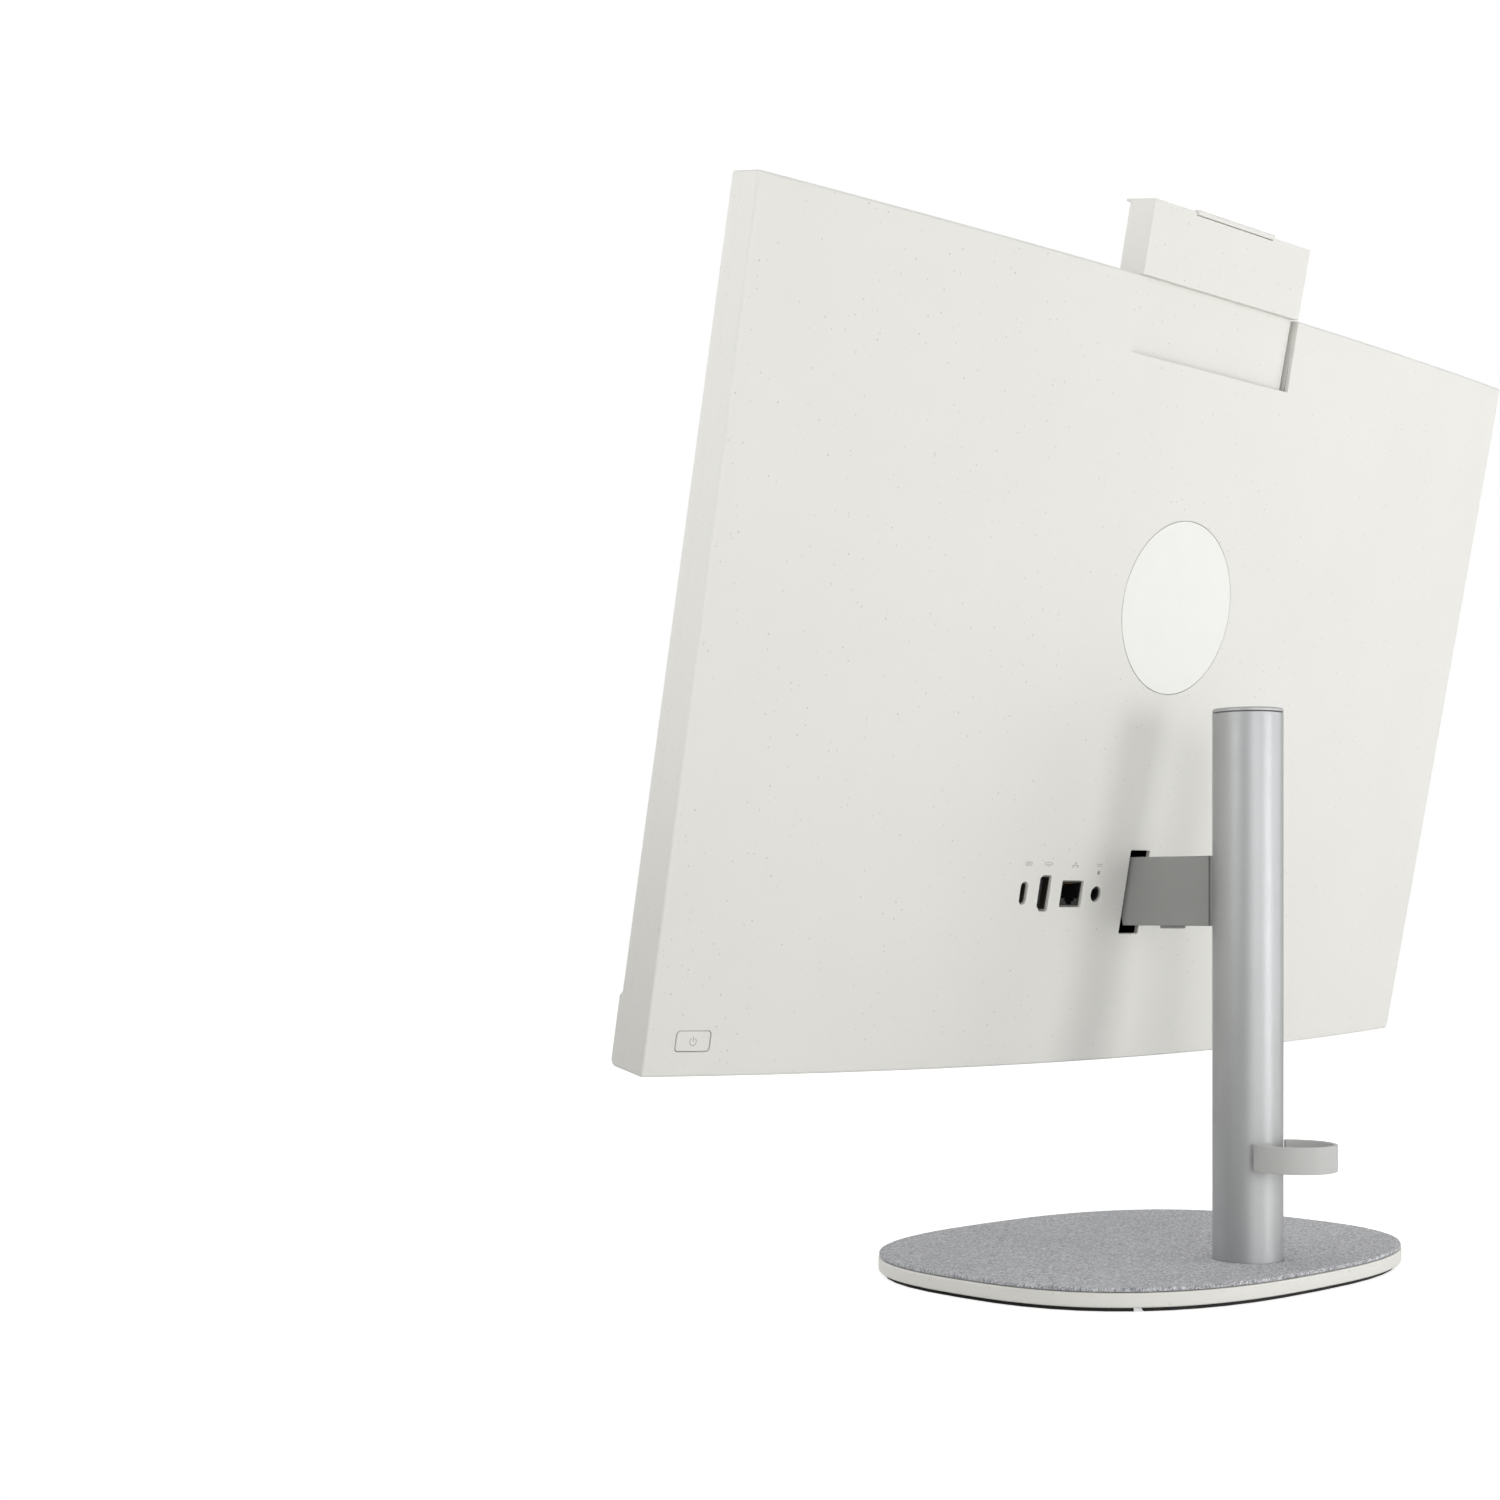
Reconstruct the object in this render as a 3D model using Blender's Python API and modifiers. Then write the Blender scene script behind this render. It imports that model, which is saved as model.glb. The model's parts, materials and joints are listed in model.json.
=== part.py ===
"""All-in-one desktop computer: a curved-back display head on a single column stand.

The model is in metres with +Z up and the desk at Z = 0. The screen faces -Y, and the origin is
under the middle of the whole computer. The stand is built around the column's axis, and the
head in its own frame, whose origin is the tilt axis: there x runs across the screen, y runs
out of the rear cover, and z runs up the screen.
"""
import math

import bmesh
import bpy
from mathutils import Matrix, Vector

MM = 0.001
GAP = 0.3 * MM                      # clearance between pieces that touch
OVERRUN = 1 * MM                    # cutters reach this far past what they cut

# ---- stand ------------------------------------------------------------------------------
BASE_HALF_X = 128.9 * MM
BASE_HALF_Y = 96.9 * MM
BASE_CENTRE_Y = -57.9 * MM          # the column stands behind the middle of the base
BASE_ROUNDNESS = 2.6                # exponent of the superellipse outline
BASE_POINTS = 56
FOOT_T = 1.5 * MM
FOOT_W = 6.0 * MM
FOOT_INSET = 2.5 * MM
FOOT_BREAK = 1.3                    # half the angle left open between two foot strips
TRAY_EDGE = 0.6 * MM
TRAY_T = 6.5 * MM
TRAY_WALL = 3.0 * MM
TRAY_DECK = 2.2 * MM
WEIGHT_T = 3.6 * MM
FELT_T = 1.9 * MM
FELT_INSET = 0.4 * MM

COLUMN_R = 15.5 * MM
COLUMN_WALL = 2.0 * MM
COLUMN_TOP = 254.5 * MM
CAP_T = 1.7 * MM
CAP_PLUG = 12.0 * MM
CAP_RIM = 0.8 * MM
COLUMN_SEGMENTS = 36
FOOT_PLUG_H = 26.0 * MM
BOLT_R = 4.0 * MM
BOLT_HEAD_R = 7.0 * MM
BOLT_HEAD_T = 2.6 * MM
THREAD_DEPTH = 16.0 * MM
THREAD_SPARE = 2.0 * MM             # the bolt stops this far short of the thread's end
HEX_R = 2.4 * MM
HEX_ROOF = 0.8 * MM

ARM_HALF_X = 5.5 * MM
ARM_LOW = 157.9 * MM
ARM_HIGH = 189.5 * MM
ARM_TENON = 7.0 * MM                # how far the arm reaches past the column's front wall
ANCHOR_MARGIN = 6.0 * MM            # anchor block above and below the arm
ARM_PIN_R = 2.0 * MM
ARM_PIN_BACK = 4.4 * MM             # behind the front of the column

HINGE_Y = -70.3 * MM
HINGE_Z = 174.4 * MM
BARREL_R = 6.5 * MM
THROAT = 4.5 * MM                   # the arm narrows to its barrel this far behind the axis
SHAFT_R = 3.0 * MM
BRACKET_T = 3.0 * MM
BRACKET_R = 4.6 * MM
BRACKET_WAIST = 1.0 * MM
BRACKET_FOOT_HALF_V = 18.0 * MM
BRACKET_FOOT_U = 14.0 * MM
BRACKET_FOOT_T = 1.8 * MM
BRACKET_TOE = 2.0 * MM
WASHER_T = 3.6 * MM
WASHER_R = 4.4 * MM
NUT_T = 3.2 * MM
NUT_R = 4.2 * MM
SHAFT_END = 0.8 * MM

LATCH_REAR = -36.2 * MM
LATCH_LENGTH = 9.7 * MM
LATCH_HALF_X = 3.4 * MM
LATCH_PROUD = 1.3 * MM
LATCH_DEPTH = 5.0 * MM
LATCH_TRAVEL = 1.0 * MM

CLIP_R = 18.5 * MM
CLIP_T = 2.0 * MM
CLIP_CENTRE_Y = 24.4 * MM
CLIP_LOW = 51.3 * MM
CLIP_H = 11.8 * MM
CLIP_FREE_GAP = 0.8 * MM            # cable entry beside the clip's free end

# ---- head -------------------------------------------------------------------------------
TILT = math.radians(11.85)          # lean at rest
HEAD_W = 540.5 * MM
HEAD_H = 351.0 * MM
HINGE_V = 79.6 * MM                 # tilt axis above the head's bottom edge
HINGE_W = 11.0 * MM                 # tilt axis behind the cover's bottom rear edge
EDGE_SLOPE = 3.25 * MM              # how far the rear edge runs forward at the top
BULGE_LOW = 19.75 * MM              # crown of the rear cover at the bottom edge
BULGE_HIGH = 16.9 * MM              # and at the top edge
COVER_SEGMENTS = 24
WALL = 2.0 * MM
COVER_ROUND = 2.0 * MM
COVER_FRONT = -12.0 * MM
COVER_SPARE = 5.0 * MM              # the cover is built this much deeper, then trimmed
THROUGH_COVER = (-2.0 * MM, 30.0 * MM)

SCREEN_FRONT = -18.1 * MM
FRAME_SIDE = 5.5 * MM
FRAME_TOP = 6.5 * MM
CHIN_FRONT = -19.6 * MM
CHIN_STEP = 29.7 * MM
CHIN_H = 35.5 * MM
CHIN_WALL = 1.8 * MM
CHIN_END = 3.0 * MM
CHIN_NOSE = 2.2 * MM
CHIN_SLOPE = 1.5 * MM
GRILLE_SLOTS = 10
GRILLE_FRONT = 2.6 * MM
GRILLE_REAR = 2.0 * MM
GLASS_T = 1.1 * MM
GLASS_INSET = 0.2 * MM
PANEL_T = 5.5 * MM
CHASSIS_T = 1.2 * MM
CHASSIS_CLEAR = 1.0 * MM
CHASSIS_WINDOW = ((110 * MM, 220 * MM), (140 * MM, 230 * MM))     # across, up

SLOT_HALF_X = 7.1 * MM
SLOT_LOW = 60.3 * MM
SLOT_HIGH = 99.7 * MM

PORT_V = 78.9 * MM
PORT_SINK = 1.0 * MM                # sockets end this far below the cover's surface
IO_BOARD_W = 1.0 * MM
BOARD_T = 1.6 * MM
IO_BOARD_MARGIN_LEFT = 1.0 * MM
IO_BOARD_MARGIN_RIGHT = 3.0 * MM
IO_BOARD_HALF_V = 13.0 * MM
CARRIER_WALL = 2.0 * MM
SOCKET_FLOOR = 2.0 * MM
TONGUE_ROOT = 1.0 * MM              # a socket's tongue starts this far into its floor
TONGUE_SHORT = 1.6 * MM             # and ends this far inside its mouth
JACK_FLOOR = 3.0 * MM
JACK_PIN_R = 0.7 * MM
JACK_PIN_SHORT = 2.0 * MM

BADGE_R = 39.4 * MM
BADGE_V = 212.0 * MM
BADGE_T = 0.9 * MM
BADGE_PROUD = 0.15 * MM
BADGE_CUT = 3.0 * MM

BUTTON_U = 247.9 * MM
BUTTON_V = 14.8 * MM
BUTTON_HALF_U = 8.1 * MM
BUTTON_HALF_V = 4.2 * MM
BUTTON_GAP = 0.4 * MM
BUTTON_T = 4.2 * MM
BUTTON_TRAVEL = 0.8 * MM
BUTTON_ROUND = 1.5 * MM
BUTTON_HOLE_ROUND = 1.8 * MM
BUTTON_HOLE_REACH = 10.0 * MM
BUTTON_SUNK = 0.1 * MM
SWITCH_ROOM = 2.4 * MM
BUTTON_BOARD_HALF_U = 12.0 * MM
BUTTON_BOARD_HALF_V = 7.0 * MM
BUTTON_BOARD_T = 1.2 * MM

CAMERA_HALF_U = 58.3 * MM
CAMERA_RISE = 32.3 * MM
CAMERA_FRONT = -1.05 * MM
CAMERA_WALL = 1.6 * MM
CAMERA_CAP_T = 1.6 * MM
CAMERA_CAP_LIP = 2.1 * MM
CAMERA_CLEAR = 0.4 * MM
TONGUE_SINK = 2.9 * MM              # the tongue lies this far below the block's rear face
TONGUE_LOW = 300.0 * MM
LENS_R = 3.6 * MM
LIP_HALF_U = 28.5 * MM
LIP_T = 1.0 * MM
RAIL_T = 3.0 * MM
RAIL_ENDS = (4.0 * MM, 2.0 * MM)    # below the lowered tongue, below the notch
RAIL_SHORT = 2.0 * MM
LIP_ROOT = 3.0 * MM
TONGUE_INSET = 1.5 * MM
TONGUE_FRONT = 4.0 * MM
TONGUE_OVERLAP = 3.0 * MM
TONGUE_SIDE = 3.0 * MM
CHANNEL_FRONT = 2.0 * MM
CAMERA_FACE_T = 1.4 * MM
EYE_SUNK = 0.2 * MM
EYE_LENGTH = 5.4 * MM
CAMERA_BOARD_W = 6.2 * MM
CAMERA_BOARD_T = 1.0 * MM

VENT_PITCH = 6.0 * MM
VENT_W = 2.4 * MM
VENT_COUNT = 14
VENT_DEPTH = (-7.0 * MM, 2.0 * MM)

FAN_U = -150.0 * MM
FAN_V = 248.0 * MM
FAN_R = 30.0 * MM
FAN_H = 11.0 * MM
FAN_WALL = 1.2 * MM
FAN_BLADES = 11
FAN_SHELL = 2.4 * MM
FAN_CLEAR = 0.9 * MM
FAN_INLET_STEP = 8.0 * MM
FAN_INLET_START = 3.0 * MM
FAN_OUTLET_STEP = 2.0 * MM
FAN_OUTLET_RISE = 4.0 * MM
FAN_END_CLEAR = 0.8 * MM
FAN_HUB_R = 11.0 * MM
FAN_TIP_CLEAR = 1.0 * MM
FAN_ROOT_SHARE = 0.72               # blades widen from here, as a share of the fan's radius

FIN_COUNT = 14
FIN_CLEAR = 1.0 * MM
FIN_LENGTH = 14.0 * MM
FIN_INSET = 3.0 * MM
FIN_BASE = 1.5 * MM
PIPE_R = 2.4 * MM
PIPE_TO_FINS = 8.0 * MM
PIPE_STEPS = 12

BOARD_LEFT = -92.0 * MM
BOARD_RIGHT = 92.0 * MM
BOARD_LOW = 112.0 * MM
BOARD_HIGH = 258.0 * MM
STANDOFF = 2.4 * MM
CHIP_U = -40.0 * MM
CHIP_V = 205.0 * MM
CHIP_HALF_U = 18.0 * MM
CHIP_HALF_V = 16.0 * MM
CHIP_T = 1.5 * MM
COLD_MARGIN = 4.0 * MM              # the cold plate is this much larger than the processor
COLD_T = 2.0 * MM
MEMORY_U = (10.0 * MM, 78.0 * MM)
MEMORY_V = 132.0 * MM
MEMORY_H = 18.0 * MM
MEMORY_PITCH = 22.0 * MM
MEMORY_T = 3.6 * MM
MEMORY_KEY_U = (50.0 * MM, 53.0 * MM)
MEMORY_KEY_H = 4.0 * MM
DRIVE_U = (-2.0 * MM, 78.0 * MM)
DRIVE_V = (190.0 * MM, 212.0 * MM)
DRIVE_T = 3.0 * MM
WIRELESS_U = (48.0 * MM, 78.0 * MM)
WIRELESS_V = (222.0 * MM, 244.0 * MM)
WIRELESS_T = 2.2 * MM
CELL_AT = (-62.0 * MM, 140.0 * MM)
CELL_R = 10.0 * MM
CELL_T = 3.2 * MM

SPEAKER_U = 175.0 * MM
SPEAKER_HALF_U = 34.0 * MM
SPEAKER_W = (COVER_FRONT + 1.0 * MM, -4.5 * MM)
SPEAKER_V = (4.0 * MM, 32.0 * MM)
SPEAKER_ROUND = 1.5 * MM

# ---- places worked out from the driving dimensions --------------------------------------
TRAY_LOW = FOOT_T + GAP
TRAY_TOP = TRAY_LOW + TRAY_T - GAP
FELT_LOW = TRAY_TOP + GAP
FELT_TOP = FELT_LOW + FELT_T
COLUMN_LOW = TRAY_TOP + GAP
CAP_LOW = COLUMN_TOP - CAP_T
CORE_R = COLUMN_R - COLUMN_WALL - GAP
ARM_END_Y = -COLUMN_R + ARM_TENON
CAMERA_REAR = BULGE_HIGH * (1 - (2 * CAMERA_HALF_U / HEAD_W) ** 2) - EDGE_SLOPE
TONGUE_REAR = CAMERA_REAR - TONGUE_SINK
CHASSIS_W = SCREEN_FRONT + GLASS_INSET + GLASS_T + PANEL_T + 3 * GAP
CHASSIS_REAR = CHASSIS_W + CHASSIS_T
BOARD_W = CHASSIS_REAR + STANDOFF
BOARD_REAR = BOARD_W + BOARD_T
FRONTMOST_Y = BASE_CENTRE_Y - BASE_HALF_Y
REARMOST_Y = CLIP_CENTRE_Y + CLIP_R
COLUMN_Y = -(FRONTMOST_Y + REARMOST_Y) / 2      # puts the origin under the middle


# ---- helpers ----------------------------------------------------------------------------
def clear_scene():
    for item in list(bpy.data.objects):
        bpy.data.objects.remove(item, do_unlink=True)


def collection(name):
    made = bpy.data.collections.new(name)
    bpy.context.scene.collection.children.link(made)
    return made


def material(name, colour, roughness, metallic=0.0):
    made = bpy.data.materials.new(name)
    made.use_nodes = True
    shader = made.node_tree.nodes["Principled BSDF"]
    shader.inputs["Base Color"].default_value = (*colour, 1.0)
    shader.inputs["Roughness"].default_value = roughness
    shader.inputs["Metallic"].default_value = metallic
    return made


def centre_of(mesh):
    low = [min(v.co[i] for v in mesh.vertices) for i in range(3)]
    high = [max(v.co[i] for v in mesh.vertices) for i in range(3)]
    return Vector((a + b) / 2 for a, b in zip(low, high))


def piece(name, bm, finish, parent=None, smooth=True, origin=None):
    """Turn a bmesh in its parent's frame into a named object; finish=None makes a cutter."""
    bmesh.ops.recalc_face_normals(bm, faces=bm.faces)
    if bm.calc_volume(signed=True) < 0:
        bmesh.ops.reverse_faces(bm, faces=bm.faces)
    mesh = bpy.data.meshes.new(name)
    bm.to_mesh(mesh)
    bm.free()
    origin = centre_of(mesh) if origin is None else Vector(origin)
    mesh.transform(Matrix.Translation(-origin))
    if smooth:
        mesh.shade_smooth()
        mesh.set_sharp_from_angle(angle=math.radians(30))
    made = bpy.data.objects.new(name, mesh)
    made.location = origin
    made.parent = parent or STAND
    if finish is None:
        CUTTERS.objects.link(made)
        made.hide_render = True
        made.display_type = 'WIRE'
    else:
        PARTS.objects.link(made)
        mesh.materials.append(finish)
    return made


def box_mesh(low, high):
    bm = bmesh.new()
    size = Vector(high) - Vector(low)
    middle = (Vector(high) + Vector(low)) / 2
    grow = Matrix.Diagonal((*size, 1.0))
    bmesh.ops.create_cube(bm, size=1.0, matrix=Matrix.Translation(middle) @ grow)
    return bm


def box(name, low, high, finish, parent=None, round_by=0.0, origin=None):
    made = piece(name, box_mesh(low, high), finish, parent, origin=origin)
    if round_by:
        bevel(made, round_by)
    return made


AXES = {
    'X': Matrix(((0, 0, 1), (1, 0, 0), (0, 1, 0))).to_4x4(),      # outline in y, z
    'Y': Matrix(((1, 0, 0), (0, 0, -1), (0, 1, 0))).to_4x4(),     # outline in x, z
    'Z': Matrix.Identity(4),                                      # outline in x, y
}


def rod_mesh(radius, start, length, axis, segments, fan=False):
    bm = bmesh.new()
    turn = AXES[axis]
    if axis == 'Y':
        turn = Matrix.Rotation(math.radians(-90), 4, 'X')
    along = {'X': Vector((1, 0, 0)), 'Y': Vector((0, 1, 0)), 'Z': Vector((0, 0, 1))}[axis]
    place = Matrix.Translation(Vector(start) + along * (length / 2)) @ turn
    bmesh.ops.create_cone(bm, cap_ends=True, cap_tris=fan, segments=segments, radius1=radius,
                          radius2=radius, depth=length, matrix=place)
    return bm


def rod(name, radius, start, length, axis, finish, parent=None, segments=20, origin=None):
    mesh = rod_mesh(radius, start, length, axis, segments)
    return piece(name, mesh, finish, parent, origin=origin)


def slab_mesh(loops, axis, low, high):
    """A flat outline, with any holes, drawn across an axis and given a thickness along it."""
    curve = bpy.data.curves.new("outline", 'CURVE')
    curve.dimensions = '2D'
    curve.fill_mode = 'BOTH'
    curve.extrude = (high - low) / 2
    for loop in loops:
        spline = curve.splines.new('POLY')
        spline.points.add(len(loop) - 1)
        for point, (a, b) in zip(spline.points, loop):
            point.co = (a, b, 0, 1)
        spline.use_cyclic_u = True
    holder = bpy.data.objects.new("outline", curve)
    bpy.context.scene.collection.objects.link(holder)
    bpy.context.view_layer.update()
    graph = bpy.context.evaluated_depsgraph_get()
    mesh = bpy.data.meshes.new_from_object(holder.evaluated_get(graph), depsgraph=graph)
    bm = bmesh.new()
    bm.from_mesh(mesh)
    bmesh.ops.remove_doubles(bm, verts=bm.verts, dist=0.001 * MM)
    middle = (low + high) / 2
    if axis == 'Y':
        middle = -middle
    bm.transform(AXES[axis] @ Matrix.Translation((0, 0, middle)))
    bpy.data.objects.remove(holder, do_unlink=True)
    bpy.data.meshes.remove(mesh)
    bpy.data.curves.remove(curve)
    return bm


def slab(name, loops, axis, low, high, finish, parent=None, round_by=0.0, origin=None):
    made = piece(name, slab_mesh(loops, axis, low, high), finish, parent, origin=origin)
    if round_by:
        bevel(made, round_by)
    return made


def bevel(item, width, segments=2, angle=50):
    mod = item.modifiers.new("Bevel", 'BEVEL')
    mod.width = width
    mod.segments = segments
    mod.limit_method = 'ANGLE'
    mod.angle_limit = math.radians(angle)


def cut(item, cutter, how='DIFFERENCE'):
    mod = item.modifiers.new(cutter.name, 'BOOLEAN')
    mod.operation = how
    mod.object = cutter


def cut_box(item, name, low, high, parent=None, how='DIFFERENCE'):
    cut(item, box(name, low, high, None, parent), how)


def cut_rod(item, name, radius, start, length, axis, parent=None, segments=20):
    cut(item, rod(name, radius, start, length, axis, None, parent, segments))


def arc(centre, radius, start, end, count):
    """Points along a round stretch; angles in degrees."""
    points = []
    for i in range(count + 1):
        angle = math.radians(start + (end - start) * i / count)
        points.append((centre[0] + radius * math.cos(angle), centre[1] + radius * math.sin(angle)))
    return points


def circle(centre, radius, count=24):
    return arc(centre, radius, 0, 360 * (count - 1) / count, count - 1)


def rounded_rectangle(centre, half_a, half_b, radius, count=3):
    points = []
    for side_a, side_b, start in ((1, 1, 0), (-1, 1, 90), (-1, -1, 180), (1, -1, 270)):
        corner = (centre[0] + side_a * (half_a - radius), centre[1] + side_b * (half_b - radius))
        points += arc(corner, radius, start, start + 90, count)
    return points


def base_outline(inset, start=0.0, end=360.0, count=BASE_POINTS):
    """Points on the base's superellipse, moved inwards by inset; angles in degrees."""
    power = 2 / BASE_ROUNDNESS
    points = []
    closed = end - start >= 360
    for i in range(count if closed else count + 1):
        angle = math.radians(start + (end - start) * i / count)
        side, front = math.cos(angle), math.sin(angle)
        x = (BASE_HALF_X - inset) * math.copysign(abs(side) ** power, side)
        y = (BASE_HALF_Y - inset) * math.copysign(abs(front) ** power, front)
        points.append((x, BASE_CENTRE_Y + y))
    return points


def axis_empty(name, location, parent=None, rotation=(0, 0, 0)):
    made = bpy.data.objects.new(name, None)
    made.location = location
    made.rotation_euler = rotation
    made.parent = parent
    PARTS.objects.link(made)
    return made


def rear_edge(v):
    return -EDGE_SLOPE * v / HEAD_H


def rear_surface(u, v):
    """How far the outside of the rear cover stands behind its bottom rear edge."""
    crown = BULGE_LOW + (BULGE_HIGH - BULGE_LOW) * v / HEAD_H
    return rear_edge(v) + crown * (1 - (2 * u / HEAD_W) ** 2)


def head_at(u, w, v):
    """A point of the head, from its width, depth and height to the tilt axis's frame."""
    return Vector((u, w - HINGE_W, v - HINGE_V))


def head_box(name, u, w, v, finish, parent, round_by=0.0, origin=None):
    low = head_at(u[0], w[0], v[0])
    high = head_at(u[1], w[1], v[1])
    return box(name, low, high, finish, parent, round_by, origin)


def head_cut(item, name, u, w, v, parent, how='DIFFERENCE'):
    cut_box(item, name, head_at(u[0], w[0], v[0]), head_at(u[1], w[1], v[1]), parent, how)


def head_rod(name, radius, u, w, v, finish, parent, segments=20, origin=None):
    start = head_at(u, w[0], v)
    return rod(name, radius, start, w[1] - w[0], 'Y', finish, parent, segments, origin=origin)


# ---- stand ------------------------------------------------------------------------------
def make_base():
    tray = slab("base_tray", [base_outline(0)], 'Z', TRAY_LOW, TRAY_TOP, OFF_WHITE)
    bevel(tray, TRAY_EDGE)
    pocket = slab("tray_pocket", [base_outline(TRAY_WALL)], 'Z', -OVERRUN, TRAY_TOP - TRAY_DECK, None)
    cut(tray, pocket)
    bolt_hole = BOLT_R + GAP
    cut_rod(tray, "tray_bolt_hole", bolt_hole, (0, 0, 0), 2 * TRAY_TOP, 'Z')

    weight_top = TRAY_TOP - TRAY_DECK - GAP
    weight = slab("base_weight", [base_outline(TRAY_WALL + GAP)], 'Z',
                  weight_top - WEIGHT_T, weight_top, STEEL)
    cut_rod(weight, "weight_bolt_hole", bolt_hole, (0, 0, 0), 2 * TRAY_TOP, 'Z')
    sink_top = weight_top - WEIGHT_T + BOLT_HEAD_T
    cut_rod(weight, "weight_counterbore", BOLT_HEAD_R + GAP, (0, 0, -OVERRUN), sink_top + OVERRUN, 'Z')

    slab("base_felt", [base_outline(FELT_INSET), circle((0, 0), COLUMN_R + GAP, COLUMN_SEGMENTS)],
         'Z', FELT_LOW, FELT_TOP, FELT)

    for number, start in enumerate((45, 135, 225, 315), 1):
        outer = base_outline(FOOT_INSET, start + FOOT_BREAK, start + 90 - FOOT_BREAK, 12)
        inner = base_outline(FOOT_INSET + FOOT_W, start + FOOT_BREAK, start + 90 - FOOT_BREAK, 12)
        slab(f"foot_strip_{number}", [outer + inner[::-1]], 'Z', 0, FOOT_T, RUBBER)


def make_column():
    tube = slab("column_tube", [circle((0, 0), COLUMN_R, COLUMN_SEGMENTS),
                                circle((0, 0), COLUMN_R - COLUMN_WALL, COLUMN_SEGMENTS)],
                'Z', COLUMN_LOW, CAP_LOW - GAP, ALUMINIUM)
    cut_box(tube, "tube_arm_window",
            (-ARM_HALF_X - GAP, -COLUMN_R - OVERRUN, ARM_LOW - GAP),
            (ARM_HALF_X + GAP, -COLUMN_R / 2, ARM_HIGH + GAP))

    cap = bpy.data.meshes.new("column_cap")
    outline = [(0, COLUMN_TOP), (COLUMN_R - CAP_RIM, COLUMN_TOP), (COLUMN_R, COLUMN_TOP - CAP_RIM),
               (COLUMN_R, CAP_LOW), (CORE_R, CAP_LOW), (CORE_R, CAP_LOW - CAP_PLUG),
               (0, CAP_LOW - CAP_PLUG)]
    cap.from_pydata([(r, 0, z) for r, z in outline],
                    [(i, i + 1) for i in range(len(outline) - 1)], [])
    cap.materials.append(ALUMINIUM)
    turned = bpy.data.objects.new("column_cap", cap)
    turned.parent = STAND
    PARTS.objects.link(turned)
    screw = turned.modifiers.new("Screw", 'SCREW')
    screw.steps = COLUMN_SEGMENTS
    screw.render_steps = COLUMN_SEGMENTS
    screw.use_merge_vertices = True
    screw.merge_threshold = 0.01 * MM

    plug = rod("column_foot_plug", CORE_R, (0, 0, COLUMN_LOW), FOOT_PLUG_H, 'Z', STEEL,
               segments=COLUMN_SEGMENTS)
    thread_top = COLUMN_LOW + THREAD_DEPTH
    cut_rod(plug, "foot_plug_thread", BOLT_R + GAP, (0, 0, 0), thread_top, 'Z')
    head_top = TRAY_TOP - TRAY_DECK - GAP - WEIGHT_T + BOLT_HEAD_T - GAP
    shank = rod("column_bolt", BOLT_R, (0, 0, head_top - BOLT_HEAD_T),
                thread_top - THREAD_SPARE - head_top + BOLT_HEAD_T, 'Z', STEEL)
    cut(shank, rod("bolt_head", BOLT_HEAD_R, (0, 0, head_top - BOLT_HEAD_T), BOLT_HEAD_T, 'Z',
                   None, segments=20), 'UNION')
    cut(shank, rod("bolt_hex", HEX_R, (0, 0, 0), head_top - HEX_ROOF, 'Z', None, segments=6))


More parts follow.
